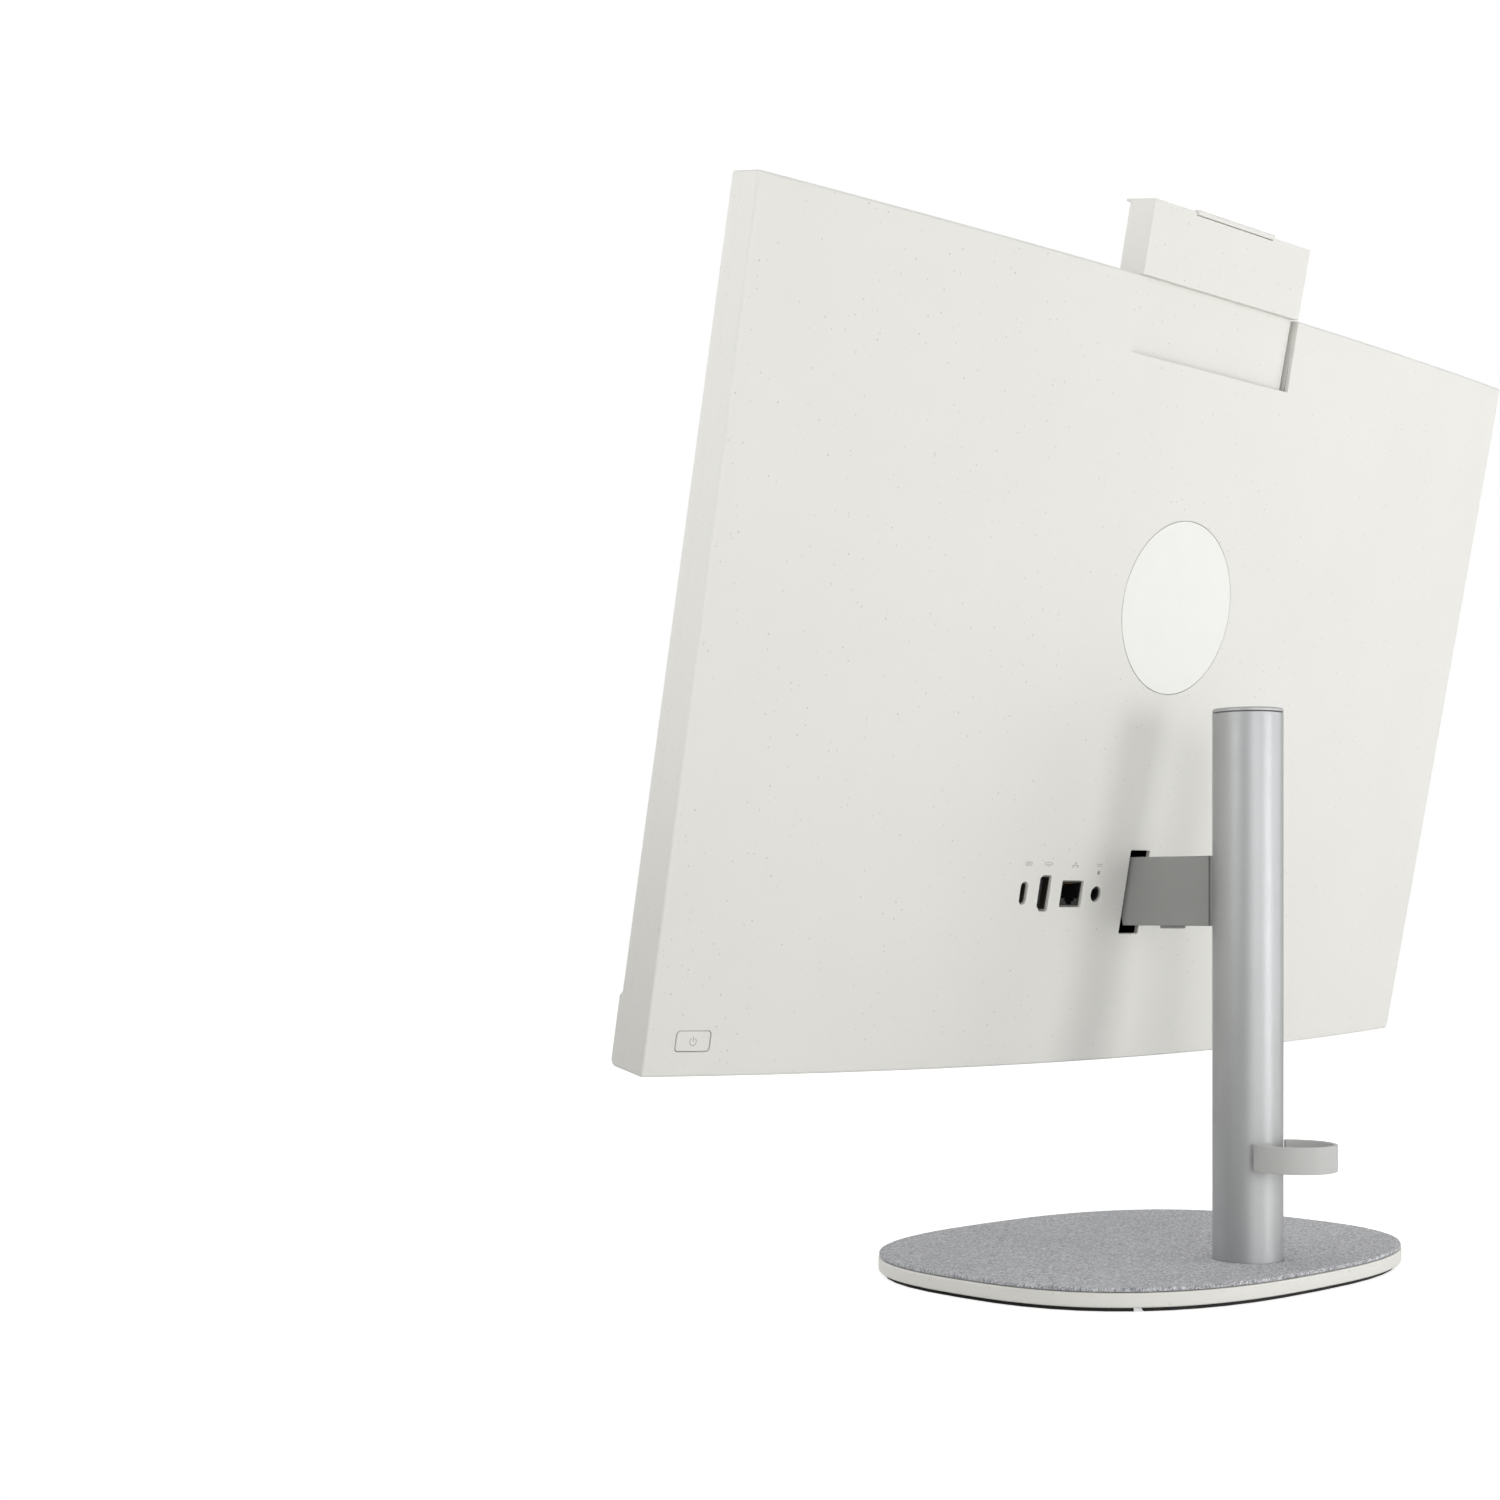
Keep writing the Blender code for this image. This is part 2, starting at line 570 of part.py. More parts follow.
def make_arm():
    anchor_low = ARM_LOW - ANCHOR_MARGIN
    anchor_h = ARM_HIGH - ARM_LOW + 2 * ANCHOR_MARGIN
    anchor = rod("arm_anchor", CORE_R, (0, 0, anchor_low), anchor_h, 'Z', STEEL,
                 segments=COLUMN_SEGMENTS)
    cut_box(anchor, "anchor_mortise", (-ARM_HALF_X - GAP, -COLUMN_R, ARM_LOW - GAP),
            (ARM_HALF_X + GAP, ARM_END_Y + GAP, ARM_HIGH + GAP))
    pin_y = -COLUMN_R + ARM_PIN_BACK
    pin_low = ARM_LOW - ANCHOR_MARGIN / 2
    pin_length = ARM_HIGH - ARM_LOW + ANCHOR_MARGIN * 1.5
    cut_rod(anchor, "anchor_pin_hole", ARM_PIN_R + GAP, (0, pin_y, pin_low - GAP),
            pin_length + 2 * ANCHOR_MARGIN, 'Z', segments=12)

    nose = [(HINGE_Y + y, HINGE_Z + z) for y, z in arc((0, 0), BARREL_R, 70, 290, 10)]
    throat = HINGE_Y + THROAT
    outline = [(throat, ARM_HIGH)] + nose + [(throat, ARM_LOW), (ARM_END_Y, ARM_LOW),
                                             (ARM_END_Y, ARM_HIGH)]
    bore = circle((HINGE_Y, HINGE_Z), SHAFT_R + GAP, 16)
    arm = slab("stand_arm", [outline, bore], 'X', -ARM_HALF_X, ARM_HALF_X, ARM_GREY)
    cut_rod(arm, "arm_pin_hole", ARM_PIN_R + GAP, (0, pin_y, 0), ARM_HIGH + OVERRUN, 'Z',
            segments=12)
    well = LATCH_DEPTH + LATCH_TRAVEL + GAP
    cut_box(arm, "latch_well", (-LATCH_HALF_X - GAP, LATCH_REAR - LATCH_LENGTH - GAP, 0),
            (LATCH_HALF_X + GAP, LATCH_REAR + GAP, ARM_LOW + well))
    rod("arm_pin", ARM_PIN_R, (0, pin_y, pin_low), pin_length, 'Z', STEEL, segments=12)

    latch_low = ARM_LOW - LATCH_PROUD
    box("release_latch", (-LATCH_HALF_X, LATCH_REAR - LATCH_LENGTH, latch_low),
        (LATCH_HALF_X, LATCH_REAR, ARM_LOW + LATCH_DEPTH), ARM_GREY, round_by=0.4 * MM,
        origin=(0, LATCH_REAR - LATCH_LENGTH / 2, ARM_LOW))

    cheek = ARM_HALF_X + GAP + BRACKET_T
    half_length = cheek + 2 * GAP + WASHER_T + NUT_T + SHAFT_END
    rod("hinge_shaft", SHAFT_R, (-half_length, HINGE_Y, HINGE_Z), 2 * half_length, 'X', STEEL,
        segments=16)
    for side, name in ((-1, "right"), (1, "left")):
        start = side * (cheek + GAP)
        ring(f"hinge_washer_{name}", start, side * WASHER_T, WASHER_R, 20)
        ring(f"hinge_nut_{name}", start + side * (WASHER_T + GAP), side * NUT_T, NUT_R, 6)


def ring(name, start, length, radius, segments):
    """A washer or nut on the hinge shaft."""
    loops = [circle((HINGE_Y, HINGE_Z), radius, segments),
             circle((HINGE_Y, HINGE_Z), SHAFT_R + GAP, 16)]
    slab(name, loops, 'X', min(start, start + length), max(start, start + length), STEEL)


def make_clip():
    middle = CLIP_R - CLIP_T / 2
    reach = (CLIP_CENTRE_Y ** 2 + middle ** 2 - COLUMN_R ** 2) / (2 * CLIP_CENTRE_Y * middle)
    meeting = math.degrees(math.acos(reach))
    fixed = -90 - meeting + math.degrees((CLIP_T / 2 + GAP) / middle) - 6
    free = -90 + meeting + math.degrees((CLIP_T / 2 + CLIP_FREE_GAP) / middle) + 6
    centre = (0, CLIP_CENTRE_Y)
    outer = arc(centre, CLIP_R, free, fixed + 360, 28)
    inner = arc(centre, CLIP_R - CLIP_T, free, fixed + 360, 28)
    slab("cable_clip", [outer + inner[::-1]], 'Z', CLIP_LOW, CLIP_LOW + CLIP_H, CLIP_GREY)


# ---- head -------------------------------------------------------------------------------
def cover_solid(name, side, ends, depth, front, finish, parent):
    """The space inside the cover's outline, less a margin at the sides, ends and rear."""
    half = HEAD_W / 2 - side
    across = [half - 2 * half * i / COVER_SEGMENTS for i in range(COVER_SEGMENTS + 1)]
    loop = [(-half, front), (half, front)] + [(u, 0.0) for u in across]
    bm = slab_mesh([loop], 'Z', ends, HEAD_H - ends)
    for vertex in bm.verts:
        if vertex.co.y > front / 2:
            vertex.co.y = rear_surface(vertex.co.x, vertex.co.z) - depth
        vertex.co = head_at(vertex.co.x, vertex.co.y, vertex.co.z)
    made = piece(name, bm, finish, parent)
    if finish:
        bevel(made, COVER_ROUND)
    made.modifiers.new("Triangulate", 'TRIANGULATE')     # the ruled faces are not quite flat
    return made


def badge_mesh(radius, top, bottom):
    """A round plate that follows the curve of the rear cover."""
    bm = rod_mesh(radius, head_at(0, 0, BADGE_V), top - bottom, 'Y', 40, fan=True)
    rear = max(vertex.co.y for vertex in bm.verts)
    for vertex in bm.verts:
        offset = top if vertex.co.y > rear - 0.01 * MM else bottom
        u, v = vertex.co.x, vertex.co.z + HINGE_V
        vertex.co.y = rear_surface(u, v) + offset - HINGE_W
    bmesh.ops.triangulate(bm, faces=bm.faces)
    return bm


def make_cover(head):
    cover = cover_solid("rear_cover", 0, 0, 0, COVER_FRONT - COVER_SPARE, OFF_WHITE, head)
    cut(cover, cover_solid("cover_inside", WALL, WALL, WALL, COVER_FRONT - COVER_SPARE - 3 * OVERRUN,
                           None, head))
    far = HEAD_W
    head_cut(cover, "cover_front_trim", (-far, far), (COVER_FRONT - 4 * COVER_SPARE, COVER_FRONT),
             (-far, far), head)
    head_cut(cover, "arm_slot", (-SLOT_HALF_X, SLOT_HALF_X), THROUGH_COVER, (SLOT_LOW, SLOT_HIGH), head)
    for name, u, half_u, half_v in PORTS:
        head_cut(cover, name + "_opening", (u - half_u - GAP, u + half_u + GAP),
                 THROUGH_COVER, (PORT_V - half_v - GAP, PORT_V + half_v + GAP), head)
    jack_hole = head_rod("jack_opening", JACK_R + GAP, JACK_U, THROUGH_COVER, PORT_V, None, head, 20)
    cut(cover, jack_hole)
    recess = badge_mesh(BADGE_R + GAP, BADGE_CUT, BADGE_PROUD - BADGE_T - GAP)
    cut(cover, piece("badge_recess", recess, None, head))
    button_hole = rounded_rectangle((BUTTON_U, BUTTON_V - HINGE_V), BUTTON_HALF_U + BUTTON_GAP,
                                    BUTTON_HALF_V + BUTTON_GAP, BUTTON_HOLE_ROUND)
    cut(cover, slab("button_opening", [button_hole], 'Y', -BUTTON_HOLE_REACH - HINGE_W,
                    BUTTON_HOLE_REACH - HINGE_W, None, head))
    side = CAMERA_HALF_U + CAMERA_CLEAR
    head_cut(cover, "camera_notch", (-side, side),
             (CAMERA_FRONT - CAMERA_CAP_LIP - CAMERA_CLEAR, THROUGH_COVER[1]),
             (HEAD_H - CAMERA_RISE - CAMERA_CLEAR, HEAD_H + COVER_SPARE), head)
    for i in range(VENT_COUNT):
        offset = (i - (VENT_COUNT - 1) / 2) * VENT_PITCH
        for name, u, v in (("exhaust", FAN_U, HEAD_H), ("intake", 0, 0)):
            head_cut(cover, f"{name}_vent_{i}", (u + offset - VENT_W / 2, u + offset + VENT_W / 2),
                     VENT_DEPTH, (v - 2 * WALL, v + 2 * WALL), head)
    piece("rear_badge", badge_mesh(BADGE_R, BADGE_PROUD, BADGE_PROUD - BADGE_T), GLOSS_WHITE, head)


def make_front(head):
    half = HEAD_W / 2
    low = CHIN_H + GAP
    inner_side = half - FRAME_SIDE
    inner_top = HEAD_H - FRAME_TOP
    arch = [(-half, low), (-inner_side, low), (-inner_side, inner_top), (inner_side, inner_top),
            (inner_side, low), (half, low), (half, HEAD_H), (-half, HEAD_H)]
    arch = [(u, v - HINGE_V) for u, v in arch]
    slab("front_frame", [arch], 'Y', SCREEN_FRONT - HINGE_W, COVER_FRONT - GAP - HINGE_W,
         OFF_WHITE, head)

    chin = arc((CHIN_FRONT + CHIN_NOSE, CHIN_NOSE), CHIN_NOSE, 270, 180, 3)
    chin += [(CHIN_FRONT, CHIN_STEP), (SCREEN_FRONT, CHIN_STEP + CHIN_SLOPE), (SCREEN_FRONT, CHIN_H),
             (COVER_FRONT - GAP, CHIN_H), (COVER_FRONT - GAP, 0)]
    chin = [(w - HINGE_W, v - HINGE_V) for w, v in chin]
    bar = slab("chin_bar", [chin], 'X', -half, half, OFF_WHITE, head)
    head_cut(bar, "chin_pocket", (-half + CHIN_END, half - CHIN_END),
             (CHIN_FRONT + CHIN_WALL, 0), (CHIN_WALL, CHIN_H - CHIN_WALL), head)
    for side in (-1, 1):
        for i in range(GRILLE_SLOTS):
            u = side * (SPEAKER_U + (i - (GRILLE_SLOTS - 1) / 2) * VENT_PITCH)
            head_cut(bar, f"grille_slot_{side}_{i}", (u - VENT_W / 2, u + VENT_W / 2),
                     (CHIN_FRONT + GRILLE_FRONT, COVER_FRONT - GRILLE_REAR),
                     (-OVERRUN, 2 * CHIN_WALL), head)

    glass_front = SCREEN_FRONT + GLASS_INSET
    edge_u = inner_side - GAP
    edge_low = CHIN_H + 2 * GAP
    edge_high = inner_top - GAP
    head_box("display_glass", (-edge_u, edge_u), (glass_front, glass_front + GLASS_T),
             (edge_low, edge_high), SCREEN_BLACK, head)
    panel_front = glass_front + GLASS_T + GAP
    head_box("lcd_panel", (-edge_u, edge_u), (panel_front, panel_front + PANEL_T),
             (edge_low, edge_high), DARK_STEEL, head)
    inside = half - WALL - CHASSIS_CLEAR
    chassis = head_box("chassis_plate", (-inside, inside), (CHASSIS_W, CHASSIS_REAR),
                       (CHIN_H + CHASSIS_CLEAR, HEAD_H - WALL - CHASSIS_CLEAR), COATED_STEEL, head)
    across, up = CHASSIS_WINDOW
    head_cut(chassis, "chassis_window", across, (CHASSIS_W - OVERRUN, CHASSIS_REAR + OVERRUN), up, head)


def make_hinge_brackets(head):
    inner = ARM_HALF_X + GAP
    foot_v = BRACKET_FOOT_HALF_V
    for side, name in ((-1, "right"), (1, "left")):
        foot = CHASSIS_REAR + GAP - HINGE_W
        cheek = [(foot, -foot_v), (foot + BRACKET_TOE, -foot_v), (-BRACKET_WAIST, -BRACKET_R)]
        cheek += arc((0, 0), BRACKET_R, -80, 80, 8) + [(-BRACKET_WAIST, BRACKET_R)]
        cheek += [(foot + BRACKET_TOE, foot_v), (foot, foot_v)]
        bore = circle((0, 0), SHAFT_R + GAP, 16)
        low, high = sorted((side * inner, side * (inner + BRACKET_T)))
        bracket = slab(f"hinge_bracket_{name}", [cheek, bore], 'X', low, high, COATED_STEEL, head)
        low, high = sorted((side * (inner + BRACKET_T / 2), side * (inner + BRACKET_FOOT_U)))
        cut_box(bracket, f"bracket_foot_{name}", (low, foot, -foot_v),
                (high, foot + BRACKET_FOOT_T, foot_v), head, 'UNION')


def make_port(head, name, u, half_u, half_v, tongue_u, tongue_v, shell):
    rear = rear_surface(u, PORT_V) - PORT_SINK
    front = IO_BOARD_W + BOARD_T + GAP
    socket = head_box(name, (u - half_u, u + half_u), (front, rear),
                      (PORT_V - half_v, PORT_V + half_v), SOCKET_METAL, head)
    head_cut(socket, name + "_mouth", (u - half_u + shell, u + half_u - shell),
             (front + SOCKET_FLOOR, rear + OVERRUN), (PORT_V - half_v + shell, PORT_V + half_v - shell),
             head)
    head_cut(socket, name + "_tongue", (u + tongue_u[0], u + tongue_u[1]),
             (front + TONGUE_ROOT, rear - TONGUE_SHORT), (PORT_V + tongue_v[0], PORT_V + tongue_v[1]), head,
             'UNION')


def make_ports(head):
    make_port(head, "usb_c_port", *PORTS[0][1:], (-0.35 * MM, 0.35 * MM), (-3.1 * MM, 3.1 * MM),
              0.4 * MM)
    make_port(head, "hdmi_port", *PORTS[1][1:], (-0.5 * MM, 0.9 * MM), (-6.0 * MM, 6.0 * MM),
              0.5 * MM)
    make_port(head, "ethernet_port", *PORTS[2][1:], (3.4 * MM, 4.6 * MM), (-3.6 * MM, 3.6 * MM),
              0.8 * MM)
    front = IO_BOARD_W + BOARD_T + GAP
    rear = rear_surface(JACK_U, PORT_V) - PORT_SINK
    jack = head_rod("power_jack", JACK_R, JACK_U, (front, rear), PORT_V, PLASTIC_BLACK, head, 20)
    cut(jack, head_rod("jack_mouth", JACK_BORE, JACK_U, (front + JACK_FLOOR, rear + OVERRUN), PORT_V,
                       None, head, 20))
    cut(jack, head_rod("jack_pin", JACK_PIN_R, JACK_U, (front + TONGUE_ROOT, rear - JACK_PIN_SHORT),
                       PORT_V, None, head, 10), 'UNION')
    left = JACK_U - JACK_R - IO_BOARD_MARGIN_LEFT
    right = PORTS[0][1] + PORTS[0][2] + IO_BOARD_MARGIN_RIGHT
    up = (PORT_V - IO_BOARD_HALF_V, PORT_V + IO_BOARD_HALF_V)
    head_box("io_board", (left, right), (IO_BOARD_W, IO_BOARD_W + BOARD_T), up, BOARD_GREEN, head)
    carrier = head_box("io_carrier", (left, right), (CHASSIS_REAR + GAP, IO_BOARD_W - GAP), up,
                       PLASTIC_BLACK, head)
    head_cut(carrier, "carrier_tunnel", (left + CARRIER_WALL, right - CARRIER_WALL),
             (CHASSIS_REAR - OVERRUN, IO_BOARD_W - CARRIER_WALL), (0, HEAD_H), head)


def make_power_button(head):
    """The button slides along its own empty, which stands square to the cover."""
    surface = rear_surface(BUTTON_U, BUTTON_V)
    slope = math.atan(8 * BULGE_LOW * BUTTON_U / HEAD_W ** 2)
    holder = axis_empty("power_button_axis", head_at(BUTTON_U, surface, BUTTON_V), head,
                        (0, 0, -slope))
    face = rounded_rectangle((0, 0), BUTTON_HALF_U, BUTTON_HALF_V, BUTTON_ROUND)
    slab("power_button", [face], 'Y', -BUTTON_T, -BUTTON_SUNK, OFF_WHITE, holder,
         origin=(0, 0, 0))
    switch_rear = surface - BUTTON_T - BUTTON_TRAVEL - SWITCH_ROOM
    head_box("button_board", (BUTTON_U - BUTTON_BOARD_HALF_U, BUTTON_U + BUTTON_BOARD_HALF_U),
             (switch_rear - BUTTON_BOARD_T, switch_rear),
             (BUTTON_V - BUTTON_BOARD_HALF_V, BUTTON_V + BUTTON_BOARD_HALF_V), BOARD_GREEN, head)


def make_camera(head):
    """The camera block, its tongue, cap and optics rise together out of the rear cover."""
    slide = axis_empty("camera_slide_axis", head_at(0, CAMERA_FRONT, HEAD_H), head)
    depth = CAMERA_REAR - CAMERA_FRONT
    tongue_depth = TONGUE_REAR - CAMERA_FRONT
    body_top = CAMERA_RISE - CAMERA_CAP_T - GAP
    block = box("camera_housing", (-CAMERA_HALF_U, 0, GAP), (CAMERA_HALF_U, depth, body_top),
                OFF_WHITE, slide, origin=(0, 0, 0))
    tongue_half = CAMERA_HALF_U - TONGUE_INSET
    drop = TONGUE_LOW - HEAD_H
    cut_box(block, "camera_tongue", (-tongue_half, TONGUE_FRONT, drop),
            (tongue_half, tongue_depth, TONGUE_OVERLAP), slide, 'UNION')
    cut_box(block, "camera_cavity", (-CAMERA_HALF_U + CAMERA_WALL, -OVERRUN, GAP + CAMERA_WALL),
            (CAMERA_HALF_U - CAMERA_WALL, depth - CAMERA_WALL, body_top - CAMERA_WALL), slide)
    cut_box(block, "tongue_channel", (-tongue_half + TONGUE_SIDE, CHANNEL_FRONT, drop - OVERRUN),
            (tongue_half - TONGUE_SIDE, tongue_depth - CAMERA_WALL, -1 * MM), slide)

    cap = [(-CAMERA_CAP_LIP, CAMERA_RISE - CAMERA_CAP_T), (-CAMERA_CAP_LIP, CAMERA_RISE),
           (depth, CAMERA_RISE), (depth, CAMERA_RISE - CAMERA_CAP_T)]
    lid = slab("camera_cap", [cap], 'X', -CAMERA_HALF_U, CAMERA_HALF_U, OFF_WHITE, slide)
    cut_box(lid, "camera_finger_lip", (-LIP_HALF_U, depth - LIP_ROOT, CAMERA_RISE - CAMERA_CAP_T),
            (LIP_HALF_U, depth + LIP_T, CAMERA_RISE + LIP_T), slide, 'UNION')

    inner_u = CAMERA_HALF_U - CAMERA_WALL - GAP
    face_low = GAP + CAMERA_WALL + GAP
    face_high = body_top - CAMERA_WALL - GAP
    middle = (face_low + face_high) / 2
    face = box("camera_face", (-inner_u, 0, face_low), (inner_u, CAMERA_FACE_T, face_high),
               PLASTIC_BLACK, slide)
    for name, u in CAMERA_EYES:
        cut_rod(face, name + "_hole", LENS_R + GAP, (u, -OVERRUN, middle),
                CAMERA_FACE_T + 2 * OVERRUN, 'Y', slide, 20)
        rod(name, LENS_R, (u, EYE_SUNK, middle), EYE_LENGTH, 'Y', LENS_GLASS, slide, 20)
    box("camera_board", (-inner_u, CAMERA_BOARD_W, face_low),
        (inner_u, CAMERA_BOARD_W + CAMERA_BOARD_T, face_high), BOARD_GREEN, slide)

    below_tongue, below_notch = RAIL_ENDS
    rail_low = TONGUE_LOW - CAMERA_RISE - below_tongue
    for side, name in ((-1, "right"), (1, "left")):
        inner = tongue_half + CAMERA_CLEAR
        low, high = sorted((side * inner, side * (inner + RAIL_T)))
        head_box(f"camera_rail_{name}", (low, high), (CHASSIS_REAR + GAP, TONGUE_REAR - RAIL_SHORT),
                 (rail_low, HEAD_H - CAMERA_RISE - below_notch), PLASTIC_BLACK, head)


def make_electronics(head):
    head_box("mainboard", (BOARD_LEFT, BOARD_RIGHT), (BOARD_W, BOARD_REAR), (BOARD_LOW, BOARD_HIGH),
             BOARD_GREEN, head)
    on_board = BOARD_REAR + GAP
    head_box("processor", (CHIP_U - CHIP_HALF_U, CHIP_U + CHIP_HALF_U), (on_board, on_board + CHIP_T),
             (CHIP_V - CHIP_HALF_V, CHIP_V + CHIP_HALF_V), DARK_STEEL, head)
    cold = on_board + CHIP_T + GAP
    half_u = CHIP_HALF_U + COLD_MARGIN
    half_v = CHIP_HALF_V + COLD_MARGIN
    head_box("cold_plate", (CHIP_U - half_u, CHIP_U + half_u), (cold, cold + COLD_T),
             (CHIP_V - half_v, CHIP_V + half_v), COPPER, head)
    for i in range(2):
        v = MEMORY_V + MEMORY_PITCH * i
        stick = head_box(f"memory_module_{i + 1}", MEMORY_U, (on_board, on_board + MEMORY_T),
                         (v, v + MEMORY_H), BOARD_GREEN, head)
        head_cut(stick, f"memory_key_{i + 1}", MEMORY_KEY_U,
                 (on_board - OVERRUN, on_board + MEMORY_T + OVERRUN), (v - OVERRUN, v + MEMORY_KEY_H),
                 head)
    head_box("storage_drive", DRIVE_U, (on_board, on_board + DRIVE_T), DRIVE_V, PLASTIC_BLACK, head)
    head_box("wireless_card", WIRELESS_U, (on_board, on_board + WIRELESS_T), WIRELESS_V,
             SOCKET_METAL, head)
    cell_u, cell_v = CELL_AT
    head_rod("coin_cell", CELL_R, cell_u, (on_board, on_board + CELL_T), cell_v, SOCKET_METAL, head, 24)
    for name, side in (("speaker_right", -1), ("speaker_left", 1)):
        low, high = sorted((side * (SPEAKER_U - SPEAKER_HALF_U), side * (SPEAKER_U + SPEAKER_HALF_U)))
        head_box(name, (low, high), SPEAKER_W, SPEAKER_V, PLASTIC_BLACK, head, SPEAKER_ROUND)


def heat_pipe_route(u, v, u_end, v_end):
    """A smooth bend from the cold plate to the fin stack above the fan."""
    points = []
    for i in range(PIPE_STEPS + 1):
        t = i / PIPE_STEPS
        ease = t * t * (3 - 2 * t)
        points.append((u + (u_end - u) * t, v + (v_end - v) * ease))
    return points


def make_cooling(head):
    low = CHASSIS_REAR + GAP
    high = low + FAN_H
    outlet_v = FAN_V + FAN_R + FAN_OUTLET_RISE
    ring_r = FAN_R + FAN_SHELL
    shell = arc((FAN_U, FAN_V - HINGE_V), ring_r, 200, 340, 12)
    shell += [(FAN_U + ring_r, outlet_v - HINGE_V), (FAN_U - ring_r, outlet_v - HINGE_V)]
    housing = slab("fan_housing", [shell], 'Y', low - HINGE_W, high - HINGE_W, PLASTIC_BLACK, head)
    cut(housing, head_rod("fan_room", FAN_R + FAN_CLEAR, FAN_U, (low + FAN_WALL, high - FAN_WALL),
                          FAN_V, None, head, 28))
    cut(housing, head_rod("fan_inlet", FAN_R - FAN_INLET_STEP, FAN_U,
                          (low + FAN_INLET_START, high + OVERRUN), FAN_V, None, head, 28))
    outlet_half = FAN_R - FAN_OUTLET_STEP
    head_cut(housing, "fan_outlet", (FAN_U - outlet_half, FAN_U + outlet_half),
             (low + FAN_WALL, high - FAN_WALL), (FAN_V, outlet_v + OVERRUN), head)

    spindle = axis_empty("fan_axis", head_at(FAN_U, low + FAN_WALL + FAN_END_CLEAR, FAN_V), head)
    blade_h = FAN_H - 2 * (FAN_WALL + FAN_END_CLEAR)
    root_r = FAN_ROOT_SHARE * FAN_R
    tip_r = FAN_R - FAN_TIP_CLEAR
    outline = []
    for i in range(FAN_BLADES):
        start = 360 * i / FAN_BLADES
        outline += arc((0, 0), FAN_HUB_R, start, start + 18, 2)
        for radius, turn in ((root_r, 19), (tip_r, 30), (tip_r, 34), (root_r, 23.5)):
            angle = math.radians(start + turn)
            outline.append((radius * math.cos(angle), radius * math.sin(angle)))
    slab("fan_rotor", [outline], 'Y', 0, blade_h, PLASTIC_BLACK, spindle, origin=(0, 0, 0))

    fin_low = outlet_v + FIN_CLEAR
    fin_high = fin_low + FIN_LENGTH
    half = FAN_R - FIN_INSET
    fin_top = high - FIN_INSET
    comb = [(FAN_U - half, low), (FAN_U + half, low)]
    pitch = 2 * half / (FIN_COUNT - 0.5)
    for i in range(FIN_COUNT - 1, -1, -1):
        left = FAN_U - half + i * pitch
        comb += [(left + pitch / 2, fin_top), (left, fin_top)]
        if i:
            comb += [(left, low + FIN_BASE), (left - pitch / 2, low + FIN_BASE)]
    comb = [(u, w - HINGE_W) for u, w in comb]
    slab("fin_stack", [comb], 'Z', fin_low - HINGE_V, fin_high - HINGE_V, COPPER, head)

    on_plate = BOARD_REAR + 3 * GAP + CHIP_T + COLD_T + PIPE_R
    curve = bpy.data.curves.new("heat_pipe", 'CURVE')
    curve.dimensions = '3D'
    curve.bevel_depth = PIPE_R
    curve.bevel_resolution = 2
    curve.use_fill_caps = True
    route = heat_pipe_route(CHIP_U, CHIP_V, FAN_U + FAN_R + PIPE_TO_FINS, fin_low + FIN_LENGTH / 2)
    spline = curve.splines.new('POLY')
    spline.points.add(len(route) - 1)
    for point, (u, v) in zip(spline.points, route):
        point.co = (*head_at(u, on_plate, v), 1)
    curve.materials.append(COPPER)
    pipe = bpy.data.objects.new("heat_pipe", curve)
    pipe.parent = head
    PARTS.objects.link(pipe)


# Sockets on the rear, from the outside in: name, place across, half width, half height.
PORTS = (
    ("usb_c_port", 76.7 * MM, 2.0 * MM, 4.9 * MM),
    ("hdmi_port", 63.3 * MM, 3.4 * MM, 7.9 * MM),
    ("ethernet_port", 44.7 * MM, 7.0 * MM, 5.8 * MM),
)
JACK_U = 27.7 * MM
JACK_R = 3.3 * MM
JACK_BORE = 2.5 * MM
CAMERA_EYES = (("camera_lens", 0.0), ("infrared_lens", -22 * MM))

clear_scene()
PARTS = collection("all_in_one_computer")
CUTTERS = collection("cutters")

OFF_WHITE = material("off_white_plastic", (0.80, 0.79, 0.74), 0.55)
GLOSS_WHITE = material("gloss_white_plastic", (0.90, 0.90, 0.87), 0.15)
ALUMINIUM = material("satin_aluminium", (0.62, 0.62, 0.62), 0.35, 1.0)
ARM_GREY = material("grey_die_cast", (0.25, 0.25, 0.25), 0.5, 0.3)
CLIP_GREY = material("grey_rubbery_plastic", (0.42, 0.42, 0.41), 0.6)
FELT = material("grey_felt", (0.36, 0.37, 0.39), 0.95)
RUBBER = material("black_rubber", (0.03, 0.03, 0.03), 0.8)
STEEL = material("plated_steel", (0.55, 0.55, 0.55), 0.35, 1.0)
DARK_STEEL = material("dark_steel", (0.12, 0.12, 0.13), 0.4, 0.8)
COATED_STEEL = material("black_coated_steel", (0.05, 0.05, 0.05), 0.45, 0.3)
SCREEN_BLACK = material("screen_glass", (0.01, 0.01, 0.012), 0.05)
PLASTIC_BLACK = material("black_plastic", (0.02, 0.02, 0.02), 0.5)
SOCKET_METAL = material("socket_metal", (0.5, 0.5, 0.5), 0.3, 1.0)
BOARD_GREEN = material("circuit_board", (0.02, 0.12, 0.06), 0.45)
COPPER = material("copper", (0.7, 0.35, 0.2), 0.3, 1.0)
LENS_GLASS = material("lens_glass", (0.01, 0.01, 0.02), 0.03)

STAND = axis_empty("column_axis", (0, COLUMN_Y, 0))
make_base()
make_column()
make_arm()
make_clip()

HEAD = axis_empty("tilt_axis", (0, HINGE_Y, HINGE_Z), STAND, (-TILT, 0, 0))
make_cover(HEAD)
make_front(HEAD)
make_hinge_brackets(HEAD)
make_ports(HEAD)
make_power_button(HEAD)
make_camera(HEAD)
make_electronics(HEAD)
make_cooling(HEAD)
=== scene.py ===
import json
import math
import random

